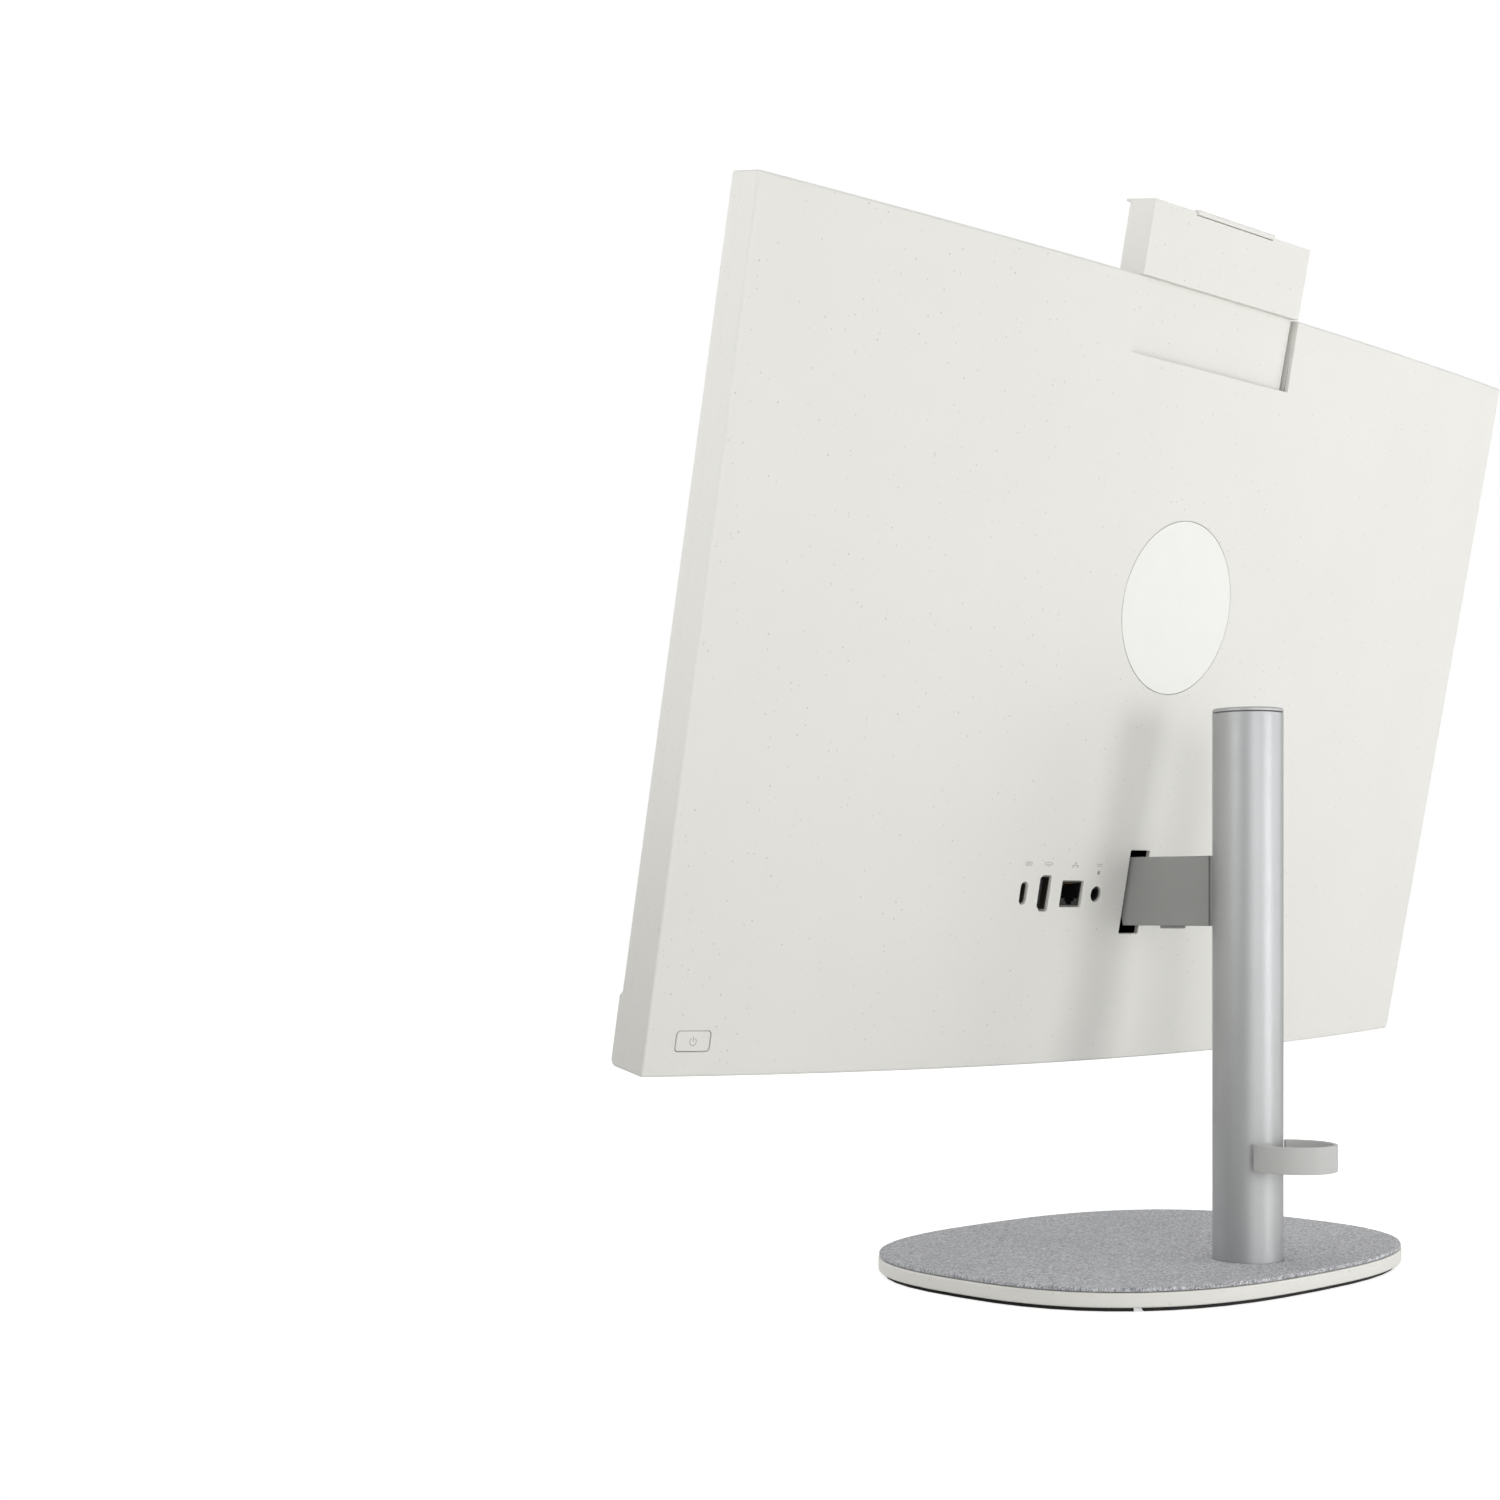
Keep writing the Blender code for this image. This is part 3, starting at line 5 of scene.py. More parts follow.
import bmesh
import bpy
from mathutils import Matrix, Vector


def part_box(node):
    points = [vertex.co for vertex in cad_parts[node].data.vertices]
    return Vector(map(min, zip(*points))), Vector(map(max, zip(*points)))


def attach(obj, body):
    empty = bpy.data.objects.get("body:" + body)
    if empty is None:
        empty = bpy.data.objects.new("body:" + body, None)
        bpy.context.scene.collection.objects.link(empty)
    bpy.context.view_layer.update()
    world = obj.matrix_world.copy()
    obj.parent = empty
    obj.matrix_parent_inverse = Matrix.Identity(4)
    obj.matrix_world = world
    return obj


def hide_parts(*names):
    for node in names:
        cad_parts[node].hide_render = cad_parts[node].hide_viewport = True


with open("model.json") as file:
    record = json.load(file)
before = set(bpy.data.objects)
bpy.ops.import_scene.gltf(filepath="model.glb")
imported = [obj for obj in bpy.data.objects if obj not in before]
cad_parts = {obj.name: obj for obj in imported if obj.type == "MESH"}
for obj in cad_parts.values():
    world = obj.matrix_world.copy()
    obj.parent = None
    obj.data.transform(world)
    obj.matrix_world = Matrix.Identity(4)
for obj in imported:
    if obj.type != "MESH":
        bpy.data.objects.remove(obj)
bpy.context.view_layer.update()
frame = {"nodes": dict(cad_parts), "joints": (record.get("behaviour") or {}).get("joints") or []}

# An all-in-one desktop computer seen from behind. Shapes are drawn in millimetres, in the
# stand's frame (origin on the desk under the column) or in the head's frame: u runs across
# the screen, w out of the rear cover and v up the screen, from the cover's bottom rear edge.
MM = 0.001
GAP = 0.3                       # clearance between pieces that touch
WELD = 0.0005                   # corners closer than this are one
SHARP_EDGE = 32                 # degrees; gentler edges are shaded smooth

HEAD_W = 540.5
HEAD_H = 351.0
HINGE_V = 79.6
HINGE_W = 11.0
EDGE_SLOPE = 3.25               # the rear edge runs this far forward at the top
BULGE_LOW = 19.75               # crown of the rear cover at its bottom edge
BULGE_HIGH = 16.9               # and at its top edge
WALL = 2.0
COVER_ROUND = 1.4
SEAM = 0.05                     # hairline between the cover, the screen frame and the chin
COVER_FRONT = -12.0
SCREEN_FRONT = -18.1
CHIN_FRONT = -19.6
CHIN_NOSE = 2.2
CHIN_STEP = 29.7
CHIN_H = 35.5
FRAME_SIDE = 5.5
FRAME_TOP = 6.5
WINDOW_ROUND = 0.8

SLOT_HALF_U = 7.1
SLOT_LOW = 60.3
SLOT_HIGH = 99.7
PORT_V = 78.9
PORT_SINK = 1.0
PORT_FRONT = 2.9                # the sockets stand on a board at this depth
USB_U = 76.7
HDMI_U = 63.3
HDMI_TONGUE_U = HDMI_U + 0.2
HDMI_LINE = [(-3.4, -7.3), (-3.4, 7.3), (-2.8, 7.9), (2.0, 7.9), (3.4, 6.9), (3.4, -5.6), (1.4, -7.9),
             (-2.8, -7.9)]
NETWORK_U = 44.7
JACK_U = 27.7
JACK_R = 3.3
CHARGE_LIGHT_AT = (JACK_U + 0.3, PORT_V + 10.0)
MARKS_V = PORT_V + 13.4
INK_TOP = 0.03
INK_BOTTOM = -0.05
BADGE_R = 39.4
BADGE_V = 212.0
BADGE_T = 0.9
BADGE_PROUD = 0.15
BUTTON_U = 247.9
BUTTON_V = 14.8
BUTTON_HALF_U = 8.1
BUTTON_HALF_V = 4.2
CAMERA_HALF_U = 58.3
CAMERA_RISE = 32.3
CAMERA_FRONT = -1.05
CAMERA_CAP_T = 1.6
CAMERA_CAP_LIP = 2.1
CAMERA_WALL = 1.6
CAMERA_CLEAR = 0.4               # between the camera block and its notch
BROW_T = 0.9
BROW_REAR = CAMERA_FRONT + 0.8
LID_MARGIN = 1.0
INFRARED_U = -22.0
MICROPHONE_U = 38.0
TONGUE_SINK = 2.9
TONGUE_LOW = 300.0
LIP_HALF_U = 28.5
LENS_R = 3.6
VENT_PITCH = 6.0
VENT_W = 2.4
VENT_COUNT = 14
VENT_DEPTH = 4.5
SPEAKER_SLOTS = 10
FAN_U = -150.0
SPEAKER_U = 175.0

BASE_HALF_X = 128.9
BASE_HALF_Y = 96.9
BASE_CENTRE_Y = -57.9
BASE_ROUNDNESS = 2.6
TRAY_LOW = 1.8
TRAY_TOP = 8.0
FELT_LOW = 8.3
FELT_TOP = 10.2
FELT_INSET = 0.4
FELT_RINGS = 43
FELT_LIFT = 0.09
BASE_POINTS = 240
COLUMN_R = 15.5
COLUMN_WALL = 2.0
COLUMN_LOW = 8.3
COLUMN_TOP = 254.5
CAP_T = 1.7
ARM_HALF_X = 5.5
ARM_LOW = 157.9
ARM_HIGH = 189.5
ARM_END_Y = -8.5
HINGE_Y = -70.3
HINGE_Z = 174.4
BARREL_R = 6.5
SHAFT_R = 3.0
LATCH_REAR = -36.2
LATCH_LENGTH = 9.7
LATCH_HALF_X = 3.4
LATCH_PROUD = 1.3
CLIP_R = 18.5
CLIP_T = 2.0
CLIP_CENTRE_Y = 24.4
CLIP_LOW = 51.3
CLIP_H = 11.8

tilt = next(j for j in frame["joints"] if j["name"] == "head_tilt")
TILT = math.radians(11.85)
column_low, column_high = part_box("column_tube")
STAND_AT = Matrix.Translation((0, (column_low.y + column_high.y) / 2, 0)) @ Matrix.Scale(MM, 4)
HEAD_AT = (Matrix.Translation(tilt["pos_m"]) @ Matrix.Rotation(-TILT, 4, "X")
           @ Matrix.Scale(MM, 4) @ Matrix.Translation((0, -HINGE_W, -HINGE_V)))


# ---- lines and solids -------------------------------------------------------------------
def rear_surface(u, v):
    """Depth of the rear cover's outside, which bulges across and tapers up the head."""
    crown = BULGE_LOW + (BULGE_HIGH - BULGE_LOW) * v / HEAD_H
    return -EDGE_SLOPE * v / HEAD_H + crown * (1 - (2 * u / HEAD_W) ** 2)


def arc(centre, radius, start, end, count):
    """Points along a round stretch; angles in degrees."""
    turns = [math.radians(start + (end - start) * i / count) for i in range(count + 1)]
    return [(centre[0] + radius * math.cos(t), centre[1] + radius * math.sin(t)) for t in turns]


def circle(radius, centre=(0, 0), count=48):
    return arc(centre, radius, 0, 360, count)[:-1]


def rounded(half_a, half_b, radius, centre=(0, 0), count=6):
    """A rectangle with round corners."""
    a, b = half_a - radius, half_b - radius
    line = []
    for side_a, side_b, start in ((1, 1, 0), (-1, 1, 90), (-1, -1, 180), (1, -1, 270)):
        line += arc((centre[0] + side_a * a, centre[1] + side_b * b), radius, start, start + 90, count)
    return line


def arched(half, low, high, radius, count):
    """An outline with square lower corners and round upper ones."""
    right = arc((half - radius, high - radius), radius, 0, 90, count)
    return [(-half, low), (half, low)] + right + arc((-half + radius, high - radius), radius, 90, 180, count)


def base_line(inset, start=0.0, end=360.0, count=BASE_POINTS):
    """Points on the base's outline, moved inwards; angles in degrees."""
    power = 2 / BASE_ROUNDNESS
    line = []
    for i in range(count if end - start >= 360 else count + 1):
        angle = math.radians(start + (end - start) * i / count)
        side, front = math.cos(angle), math.sin(angle)
        line.append(((BASE_HALF_X - inset) * math.copysign(abs(side) ** power, side),
                     BASE_CENTRE_Y + (BASE_HALF_Y - inset) * math.copysign(abs(front) ** power, front)))
    return line


def anticlockwise(line):
    area = sum(a[0] * b[1] - b[0] * a[1] for a, b in zip(line, line[1:] + line[:1]))
    return line if area > 0 else line[::-1]


def moved_in(line, inset):
    """The same closed line moved inwards, or outwards where inset is below zero."""
    if not inset:
        return list(line)
    made = []
    for i, point in enumerate(line):
        here = Vector(point)
        before = (here - Vector(line[i - 1])).normalized()
        after = (Vector(line[(i + 1) % len(line)]) - here).normalized()
        side = Vector((-before.y, before.x))
        middle = (side + Vector((-after.y, after.x))).normalized()
        made.append(tuple(here + middle * inset / max(0.35, middle.dot(side))))
    return made


def quarter(steps):
    """Angles from nothing to a right angle."""
    return [math.pi / 2 * i / steps for i in range(steps + 1)]


def skin(bm, rows):
    """Faces from each ring of corners to the next."""
    for a, b in zip(rows, rows[1:]):
        for i in range(len(a)):
            j = (i + 1) % len(a)
            bm.faces.new((a[i], a[j], b[j], b[i]))


def loft(rings):
    """Skin a row of outlines, each with the same number of points, into a closed solid."""
    bm = bmesh.new()
    rows = [[bm.verts.new(point) for point in ring] for ring in rings]
    skin(bm, rows)
    bm.faces.new(rows[0][::-1])
    bm.faces.new(rows[-1])
    return bm


ALONG = {
    "X": lambda a, b, t: (t, a, b),
    "Y": lambda a, b, t: (a, t, b),
    "Z": lambda a, b, t: (a, b, t),
}


def eased(low, high, ease, steps=4):
    """Steps from one face to the other: (how far in, how far along), rounded at both rims."""
    ease = min(ease, (high - low) / 2)
    stops = [(ease * (1 - math.sin(t)), low + ease * (1 - math.cos(t))) for t in quarter(steps)]
    return stops + [(inset, high + low - t) for inset, t in reversed(stops)]


def slab(line, low, high, axis="Z", ease=0.4, steps=4):
    """A flat outline given a thickness along an axis, with rounded rims."""
    line = anticlockwise(line)
    if not ease:
        stops = [(0, low), (0, high)]
    else:
        stops = eased(low, high, ease, steps)
    along = ALONG[axis]
    return loft([[along(a, b, t) for a, b in moved_in(line, inset)] for inset, t in stops])


def turned(profile, count=96, axis="Z", centre=(0, 0)):
    """A solid of revolution from (radius, height) pairs; it may start and end on the axis."""
    along = ALONG[axis]
    bm = bmesh.new()
    rows = []
    for radius, height in profile:
        if radius < 1e-6:
            rows.append([bm.verts.new(along(*centre, height))])
        else:
            rows.append([bm.verts.new(along(a, b, height)) for a, b in circle(radius, centre, count)])
    closed = len(rows[0]) > 1
    pairs = list(zip(rows, rows[1:])) + ([(rows[-1], rows[0])] if closed else [])
    for a, b in pairs:
        for i in range(count):
            j = (i + 1) % count
            if len(a) == 1:
                bm.faces.new((a[0], b[j], b[i]))
            elif len(b) == 1:
                bm.faces.new((a[i], a[j], b[0]))
            else:
                bm.faces.new((a[i], a[j], b[j], b[i]))
    return bm


def drill(radius, low, high, count=48, axis="Y", centre=(0, 0)):
    """A plain round cutter."""
    return turned([(0, low), (radius, low), (radius, high), (0, high)], count, axis, centre)


def block(low, high, ease=0.4, steps=3):
    """A six-sided solid with every edge rounded."""
    bm = bmesh.new()
    size = Vector(high) - Vector(low)
    middle = (Vector(high) + Vector(low)) / 2
    bmesh.ops.create_cube(bm, size=1.0, matrix=Matrix.Translation(middle) @ Matrix.Diagonal((*size, 1)))
    if ease:
        bmesh.ops.bevel(bm, geom=bm.edges[:], offset=ease, segments=steps, profile=0.5,
                        affect="EDGES", clamp_overlap=True)
    return bm


def together(solids):
    """Several solids in one mesh."""
    whole = bmesh.new()
    for bm in solids:
        loose = bpy.data.meshes.new("loose")
        bm.to_mesh(loose)
        bm.free()
        whole.from_mesh(loose)
        bpy.data.meshes.remove(loose)
    return whole


def placed(name, bm, *surfaces):
    """An object of the scene made from a finished mesh."""
    mesh = bpy.data.meshes.new(name)
    bm.to_mesh(mesh)
    bm.free()
    for surface in surfaces:
        mesh.materials.append(surface)
    made = bpy.data.objects.new(name, mesh)
    bpy.context.scene.collection.objects.link(made)
    return made


def worked(bm, tools, how="DIFFERENCE"):
    """Cut a solid with others, or weld them on."""
    holders = []
    for name, part in (("work", bm), ("tools", together(tools))):
        bmesh.ops.recalc_face_normals(part, faces=part.faces)
        holders.append(placed(name, part))
    work, tool = holders
    step = work.modifiers.new("Work", "BOOLEAN")
    step.operation = how
    step.object = tool
    step.solver = "EXACT"
    graph = bpy.context.evaluated_depsgraph_get()
    result = bpy.data.meshes.new_from_object(work.evaluated_get(graph), depsgraph=graph)
    made = bmesh.new()
    made.from_mesh(result)
    bmesh.ops.remove_doubles(made, verts=made.verts, dist=WELD)
    for holder in holders:
        mesh = holder.data
        bpy.data.objects.remove(holder, do_unlink=True)
        bpy.data.meshes.remove(mesh)
    bpy.data.meshes.remove(result)
    return made


def piece(name, bm, place, surfaces, body, slot, *nodes):
    """Put a finished solid in the frame: what it is made of, what it rides on, what it stands for."""
    surfaces = surfaces if isinstance(surfaces, list) else [surfaces]
    bmesh.ops.remove_doubles(bm, verts=bm.verts, dist=WELD)
    bmesh.ops.recalc_face_normals(bm, faces=bm.faces)
    if bm.calc_volume(signed=True) < 0:
        bmesh.ops.reverse_faces(bm, faces=bm.faces)
    bm.transform(place)
    made = placed(name, bm, *surfaces)
    made.data.shade_smooth()
    made.data.set_sharp_from_angle(angle=math.radians(SHARP_EDGE))
    steady = made.modifiers.new("Steady shading", "WEIGHTED_NORMAL")
    steady.keep_sharp = True
    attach(made, body)
    if nodes:
        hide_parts(*nodes)
    return made


# ---- finishes ---------------------------------------------------------------------------
def linear(hex_colour):
    """An sRGB hex colour as the linear values that shaders use."""
    parts = [int(hex_colour[i:i + 2], 16) / 255 for i in (1, 3, 5)]
    return (*(c / 12.92 if c <= 0.04045 else ((c + 0.055) / 1.055) ** 2.4 for c in parts), 1.0)


def node(tree, kind, inputs=None, **settings):
    """Add a node: settings are its own fields, inputs are values or (node, output) links."""
    made = tree.nodes.new("ShaderNode" + kind)
    for key, value in settings.items():
        setattr(made, key, value)
    for key, value in (inputs or {}).items():
        if isinstance(value, tuple) and isinstance(value[0], bpy.types.Node):
            tree.links.new(value[0].outputs[value[1]], made.inputs[key])
        else:
            made.inputs[key].default_value = value
    return made


def per(millimetres):
    """Texture scale that repeats once in this many millimetres."""
    return 1 / (millimetres * MM)


def finish(name, colour, roughness, metallic=0.0, **sockets):
    """A material with its shader, and the coordinates that patterns are drawn in."""
    made = bpy.data.materials.new(name)
    made.use_nodes = True
    made.diffuse_color = linear(colour)
    tree = made.node_tree
    shader = tree.nodes["Principled BSDF"]
    shader.inputs["Base Color"].default_value = linear(colour)
    shader.inputs["Roughness"].default_value = roughness
    shader.inputs["Metallic"].default_value = metallic
    for key, value in sockets.items():
        shader.inputs[key.replace("_", " ")].default_value = value
    return made, tree, shader, node(tree, "TexCoord")


def mottle(tree, shader, place, socket, size, low, high, detail=3.0):
    """Let a number or a colour of the shader drift between two values over patches of this size."""
    drift = node(tree, "TexNoise", {"Vector": (place, "Object"), "Scale": per(size), "Detail": detail})
    if isinstance(low, str):
        ends = node(tree, "Mix", {0: (drift, "Fac"), 6: linear(low), 7: linear(high)}, data_type="RGBA")
        tree.links.new(ends.outputs[2], shader.inputs[socket])
        return ends
    ends = node(tree, "MapRange", {"Value": (drift, "Fac"), 1: 0.3, 2: 0.7, 3: low, 4: high})
    tree.links.new(ends.outputs[0], shader.inputs[socket])
    return ends


def relief(tree, shader, height, depth, strength=1.0):
    """Raise or sink the surface by this many millimetres where the pattern is light or dark."""
    bump = node(tree, "Bump", {"Height": height, "Distance": depth * MM, "Strength": strength})
    tree.links.new(bump.outputs[0], shader.inputs["Normal"])
    return bump


def moulded_flecked_abs():
    """Recycled ABS, moulded in a fine spark-eroded tool: off-white and matt, with scattered specks."""
    made, tree, shader, place = finish("moulded_flecked_abs", "#E9E8E3", 0.5, IOR=1.53)
    tone = mottle(tree, shader, place, "Base Color", 60, "#E7E6E1", "#EBEAE5", 2.0)
    warp = node(tree, "TexNoise", {"Vector": (place, "Object"), "Scale": per(1.0), "Detail": 2.0})
    shaken = node(tree, "VectorMath", {0: (warp, "Color"), 1: (0.0005, 0.0005, 0.0005)},
                  operation="MULTIPLY")
    moved = node(tree, "VectorMath", {0: (place, "Object"), 1: (shaken, 0)}, operation="ADD")
    # Specks are 0.1 to 0.4 mm in the real resin; they are drawn at 0.5 to 0.9 mm so that they show.
    specks = node(tree, "TexVoronoi", {"Vector": (moved, 0), "Scale": per(3.4)})
    dark = node(tree, "MapRange", {"Value": (specks, "Distance"), 1: 0.08, 2: 0.15, 3: 1.0, 4: 0.0})
    which = node(tree, "SeparateColor", {0: (specks, "Color")})
    chosen = node(tree, "MapRange", {"Value": (which, 0), 1: 0.35, 2: 1.0, 3: 0.0, 4: 0.42})
    weight = node(tree, "Math", {0: (dark, 0), 1: (chosen, 0)}, operation="MULTIPLY")
    mixed = node(tree, "Mix", {0: (weight, 0), 6: (tone, 2), 7: linear("#8E897E")}, data_type="RGBA")
    tree.links.new(mixed.outputs[2], shader.inputs["Base Color"])
    # The tool's grain is 0.1 mm; it is drawn at 0.6 mm.
    grain = node(tree, "TexNoise", {"Vector": (place, "Object"), "Scale": per(0.6), "Detail": 3.0})
    relief(tree, shader, (grain, "Fac"), 0.02, 0.5)
    return made


def plain(name, colour, dark, light, roughness, grain, depth, metallic=0.0, **sockets):
    """A finish of one colour that drifts slightly, with a fine relief of its own grain."""
    made, tree, shader, place = finish(name, colour, roughness, metallic, **sockets)
    mottle(tree, shader, place, "Base Color", 14, dark, light)
    mottle(tree, shader, place, "Roughness", 6, roughness * 0.9, roughness * 1.12)
    bumps = node(tree, "TexNoise", {"Vector": (place, "Object"), "Scale": per(grain), "Detail": 3.0})
    relief(tree, shader, (bumps, "Fac"), depth, 0.5)
    return made


def blasted_anodised_aluminium():
    """Extruded aluminium, bead-blasted and clear anodised: a soft broad highlight with fine sparkle."""
    made, tree, shader, place = finish("blasted_anodised_aluminium", "#C2C3C4", 0.5, 1.0)
    mottle(tree, shader, place, "Base Color", 22, "#B8B9BA", "#C0C1C2", 2.0)
    mottle(tree, shader, place, "Roughness", 0.9, 0.46, 0.54)
    # Blasting leaves 0.05 mm dimples; they are drawn at 0.45 mm.
    dimples = node(tree, "TexNoise", {"Vector": (place, "Object"), "Scale": per(0.45), "Detail": 2.0})
    relief(tree, shader, (dimples, "Fac"), 0.012, 0.6)
    return made


def pressed_wool_felt():
    """Pressed wool felt in mixed light and dark fibres: matt, hairy and speckled grey."""
    made, tree, shader, place = finish("pressed_wool_felt", "#A4A5A9", 0.95, Sheen_Weight=0.25,
                                       Sheen_Roughness=0.6)
    # Fibres are 0.03 mm thick; they are drawn as tangled strands 0.5 mm wide.
    strands = []
    for turn, stretch in ((0.4, 3.6), (1.5, 3.2), (2.6, 3.9)):
        aim = node(tree, "Mapping", {"Vector": (place, "Object"), "Rotation": (0, 0, turn),
                                     "Scale": (1.0, stretch, 1.0)})
        strands.append(node(tree, "TexNoise", {"Vector": (aim, 0), "Scale": per(1.9), "Detail": 5.0,
                                               "Roughness": 0.65, "Distortion": 0.9}))
    first = node(tree, "Math", {0: (strands[0], "Fac"), 1: (strands[1], "Fac")}, operation="ADD")
    total = node(tree, "Math", {0: (first, 0), 1: (strands[2], "Fac")}, operation="ADD")
    spread = node(tree, "MapRange", {"Value": (total, 0), 1: 1.2, 2: 1.8, 3: 0.0, 4: 1.0})
    colours = node(tree, "ValToRGB", {0: (spread, 0)})
    ramp = colours.color_ramp
    ramp.elements[0].position = 0.22
    ramp.elements[0].color = linear("#888990")
    ramp.elements[1].position = 0.78
    ramp.elements[1].color = linear("#EEEFF2")
    middle = ramp.elements.new(0.5)
    middle.color = linear("#C1C2C7")
    tree.links.new(colours.outputs[0], shader.inputs["Base Color"])
    relief(tree, shader, (spread, 0), 0.35, 0.9)
    return made


def optical_glass():
    """A coated glass lens over a dark sensor: near black with a sharp bluish reflection."""
    made, tree, shader, place = finish("coated_lens_glass", "#0A0B12", 0.04, IOR=1.6, Coat_Weight=0.6,
                                       Coat_Tint=linear("#9FA8E8"))
    mottle(tree, shader, place, "Base Color", 3, "#08090E", "#10121F")
    return made


def display_glass():
    """Polished cover glass bonded to an unlit screen: black, with soft clear reflections."""
    made, tree, shader, place = finish("polished_cover_glass", "#060607", 0.06, IOR=1.52,
                                       Coat_Weight=0.25)
    mottle(tree, shader, place, "Roughness", 120, 0.05, 0.09)
    return made


def solder_mask():
    """Green solder mask over etched copper: glossy, with raised tracks that catch the light."""
    made, tree, shader, place = finish("solder_mask_on_copper", "#15402A", 0.35, IOR=1.5)
    # Tracks are 0.15 mm wide; they are drawn 0.6 mm wide.
    tracks = node(tree, "TexBrick", {"Vector": (place, "Object"), "Scale": per(9), "Mortar Size": 0.035,
                                     "Color1": linear("#15402A"), "Color2": linear("#173F2C"),
                                     "Mortar": linear("#2E6B45")})
    tree.links.new(tracks.outputs["Color"], shader.inputs["Base Color"])
    relief(tree, shader, (tracks, "Fac"), 0.03, 0.6)
    return made


FLECKED_ABS = moulded_flecked_abs()
ALUMINIUM = blasted_anodised_aluminium()
FELT = pressed_wool_felt()
LENS_GLASS = optical_glass()
SCREEN = display_glass()
BOARD = solder_mask()
# Gloss-painted and polished: a clean sharp reflection over a slightly warmer white.
LACQUER = plain("polished_white_lacquer", "#EAEAE6", "#E8E8E4", "#ECECE8", 0.09, 8.0, 0.004, IOR=1.5,
                Coat_Weight=0.5, Coat_Roughness=0.03)
# Powder coat on zinc die casting: even mid grey, satin, with a faint orange peel.
POWDER_GREY = plain("powder_coated_zinc", "#9B9B9A", "#989897", "#9E9E9D", 0.45, 0.8, 0.02, IOR=1.5)
# Soft-touch moulded elastomer: pale grey with a silky, broad sheen.
ELASTOMER = plain("moulded_grey_elastomer", "#C5C5C3", "#C2C2C0", "#C8C8C6", 0.42, 0.7, 0.015, IOR=1.5)
# Moulded rubber: nearly black and matt, so the foot line reads as a thin shadow.
RUBBER = plain("moulded_black_rubber", "#232323", "#1E1E1E", "#292929", 0.8, 0.9, 0.05, IOR=1.52)
# Black nylon: dark and semi-matt inside the sockets and the camera.
NYLON = plain("moulded_black_nylon", "#111112", "#0D0D0E", "#161617", 0.5, 0.5, 0.02, IOR=1.53)
# Dark conductive paint on the cover's inside: painted shade that hides the works behind slots and vents and
# darkens the deeper walls of the holes.
SHADE_PAINT = plain("painted_shade_inside", "#1C1C1D", "#171718", "#222223", 0.7, 1.2, 0.03, IOR=1.5)
# Bright zinc plate on cold-rolled steel: greyish metal with cloudy crystals.
ZINC_STEEL = plain("zinc_plated_steel", "#A9ABAD", "#9C9EA0", "#B8BABC", 0.36, 2.0, 0.01, 1.0)
# Electro-coated steel, black and satin: painted shade, so that the chassis plate and hinge seen through the
# arm's slot read dark.
SHADE_BLACK_STEEL = plain("black_coated_steel", "#161617", "#121213", "#1B1B1C", 0.5, 1.0, 0.02, IOR=1.5)
# Nickel plate on stamped brass: slightly warm, fairly sharp reflections.
NICKEL = plain("nickel_plated_brass", "#B9B7B1", "#AEACA5", "#C3C1BB", 0.34, 0.6, 0.006, 1.0)
# Hard gold plate: warm yellow contacts.
GOLD = plain("gold_plated_bronze", "#D4AF6A", "#CCA65F", "#DDB975", 0.25, 0.4, 0.004, 1.0)
# Bare drawn copper with light tarnish.
COPPER = plain("drawn_copper", "#C07A56", "#AE6A48", "#CC8964", 0.32, 1.5, 0.01, 1.0)
# Pad-printed ink: pale grey marks with no gloss of their own.
INK = plain("pad_printed_ink", "#A9A8A6", "#A3A2A0", "#AFAEAC", 0.55, 0.4, 0.005, IOR=1.5)


# ---- camera, light and floor ------------------------------------------------------------
SHOT_SENSOR = 36.0
SHOT_LENS = 54.86
FLOOR_LIFT = 0.62                # extra light the camera sees on the floor
ROOM_LIGHT = 0.44                # how brightly the white walls light the desk


def make_view():
    shot = bpy.data.cameras.new("shot")
    shot.sensor_width = SHOT_SENSOR
    shot.lens = SHOT_LENS
    shot.shift_y = 0.1027           # a level camera framed above its own height
    shot.clip_start = 0.05
    holder = bpy.data.objects.new("shot", shot)
    holder.location = (0.85202, 0.65464, 0.16777)
    holder.rotation_euler = (math.radians(90), 0, math.radians(137.38))
    bpy.context.scene.collection.objects.link(holder)
    bpy.context.scene.camera = holder
    bpy.context.scene.view_settings.view_transform = "Standard"
    bpy.context.scene.view_settings.look = "None"


def softbox(name, place, aim, width, height, power):
    lamp = bpy.data.lights.new(name, "AREA")
    lamp.shape = "RECTANGLE"
    lamp.size = width
    lamp.size_y = height
    lamp.energy = power
    holder = bpy.data.objects.new(name, lamp)
    holder.location = place
    holder.rotation_euler = (Vector(aim) - Vector(place)).to_track_quat("-Z", "Y").to_euler()
    holder.visible_camera = False
    bpy.context.scene.collection.objects.link(holder)


def staged(name, surface, length, width, place):
    """A flat panel of the studio itself."""
    bm = bmesh.new()
    bmesh.ops.create_grid(bm, x_segments=24, y_segments=24, size=0.5,
                          matrix=place @ Matrix.Diagonal((length, width, 1, 1)))
    panel = placed(name, bm, surface)
    return panel


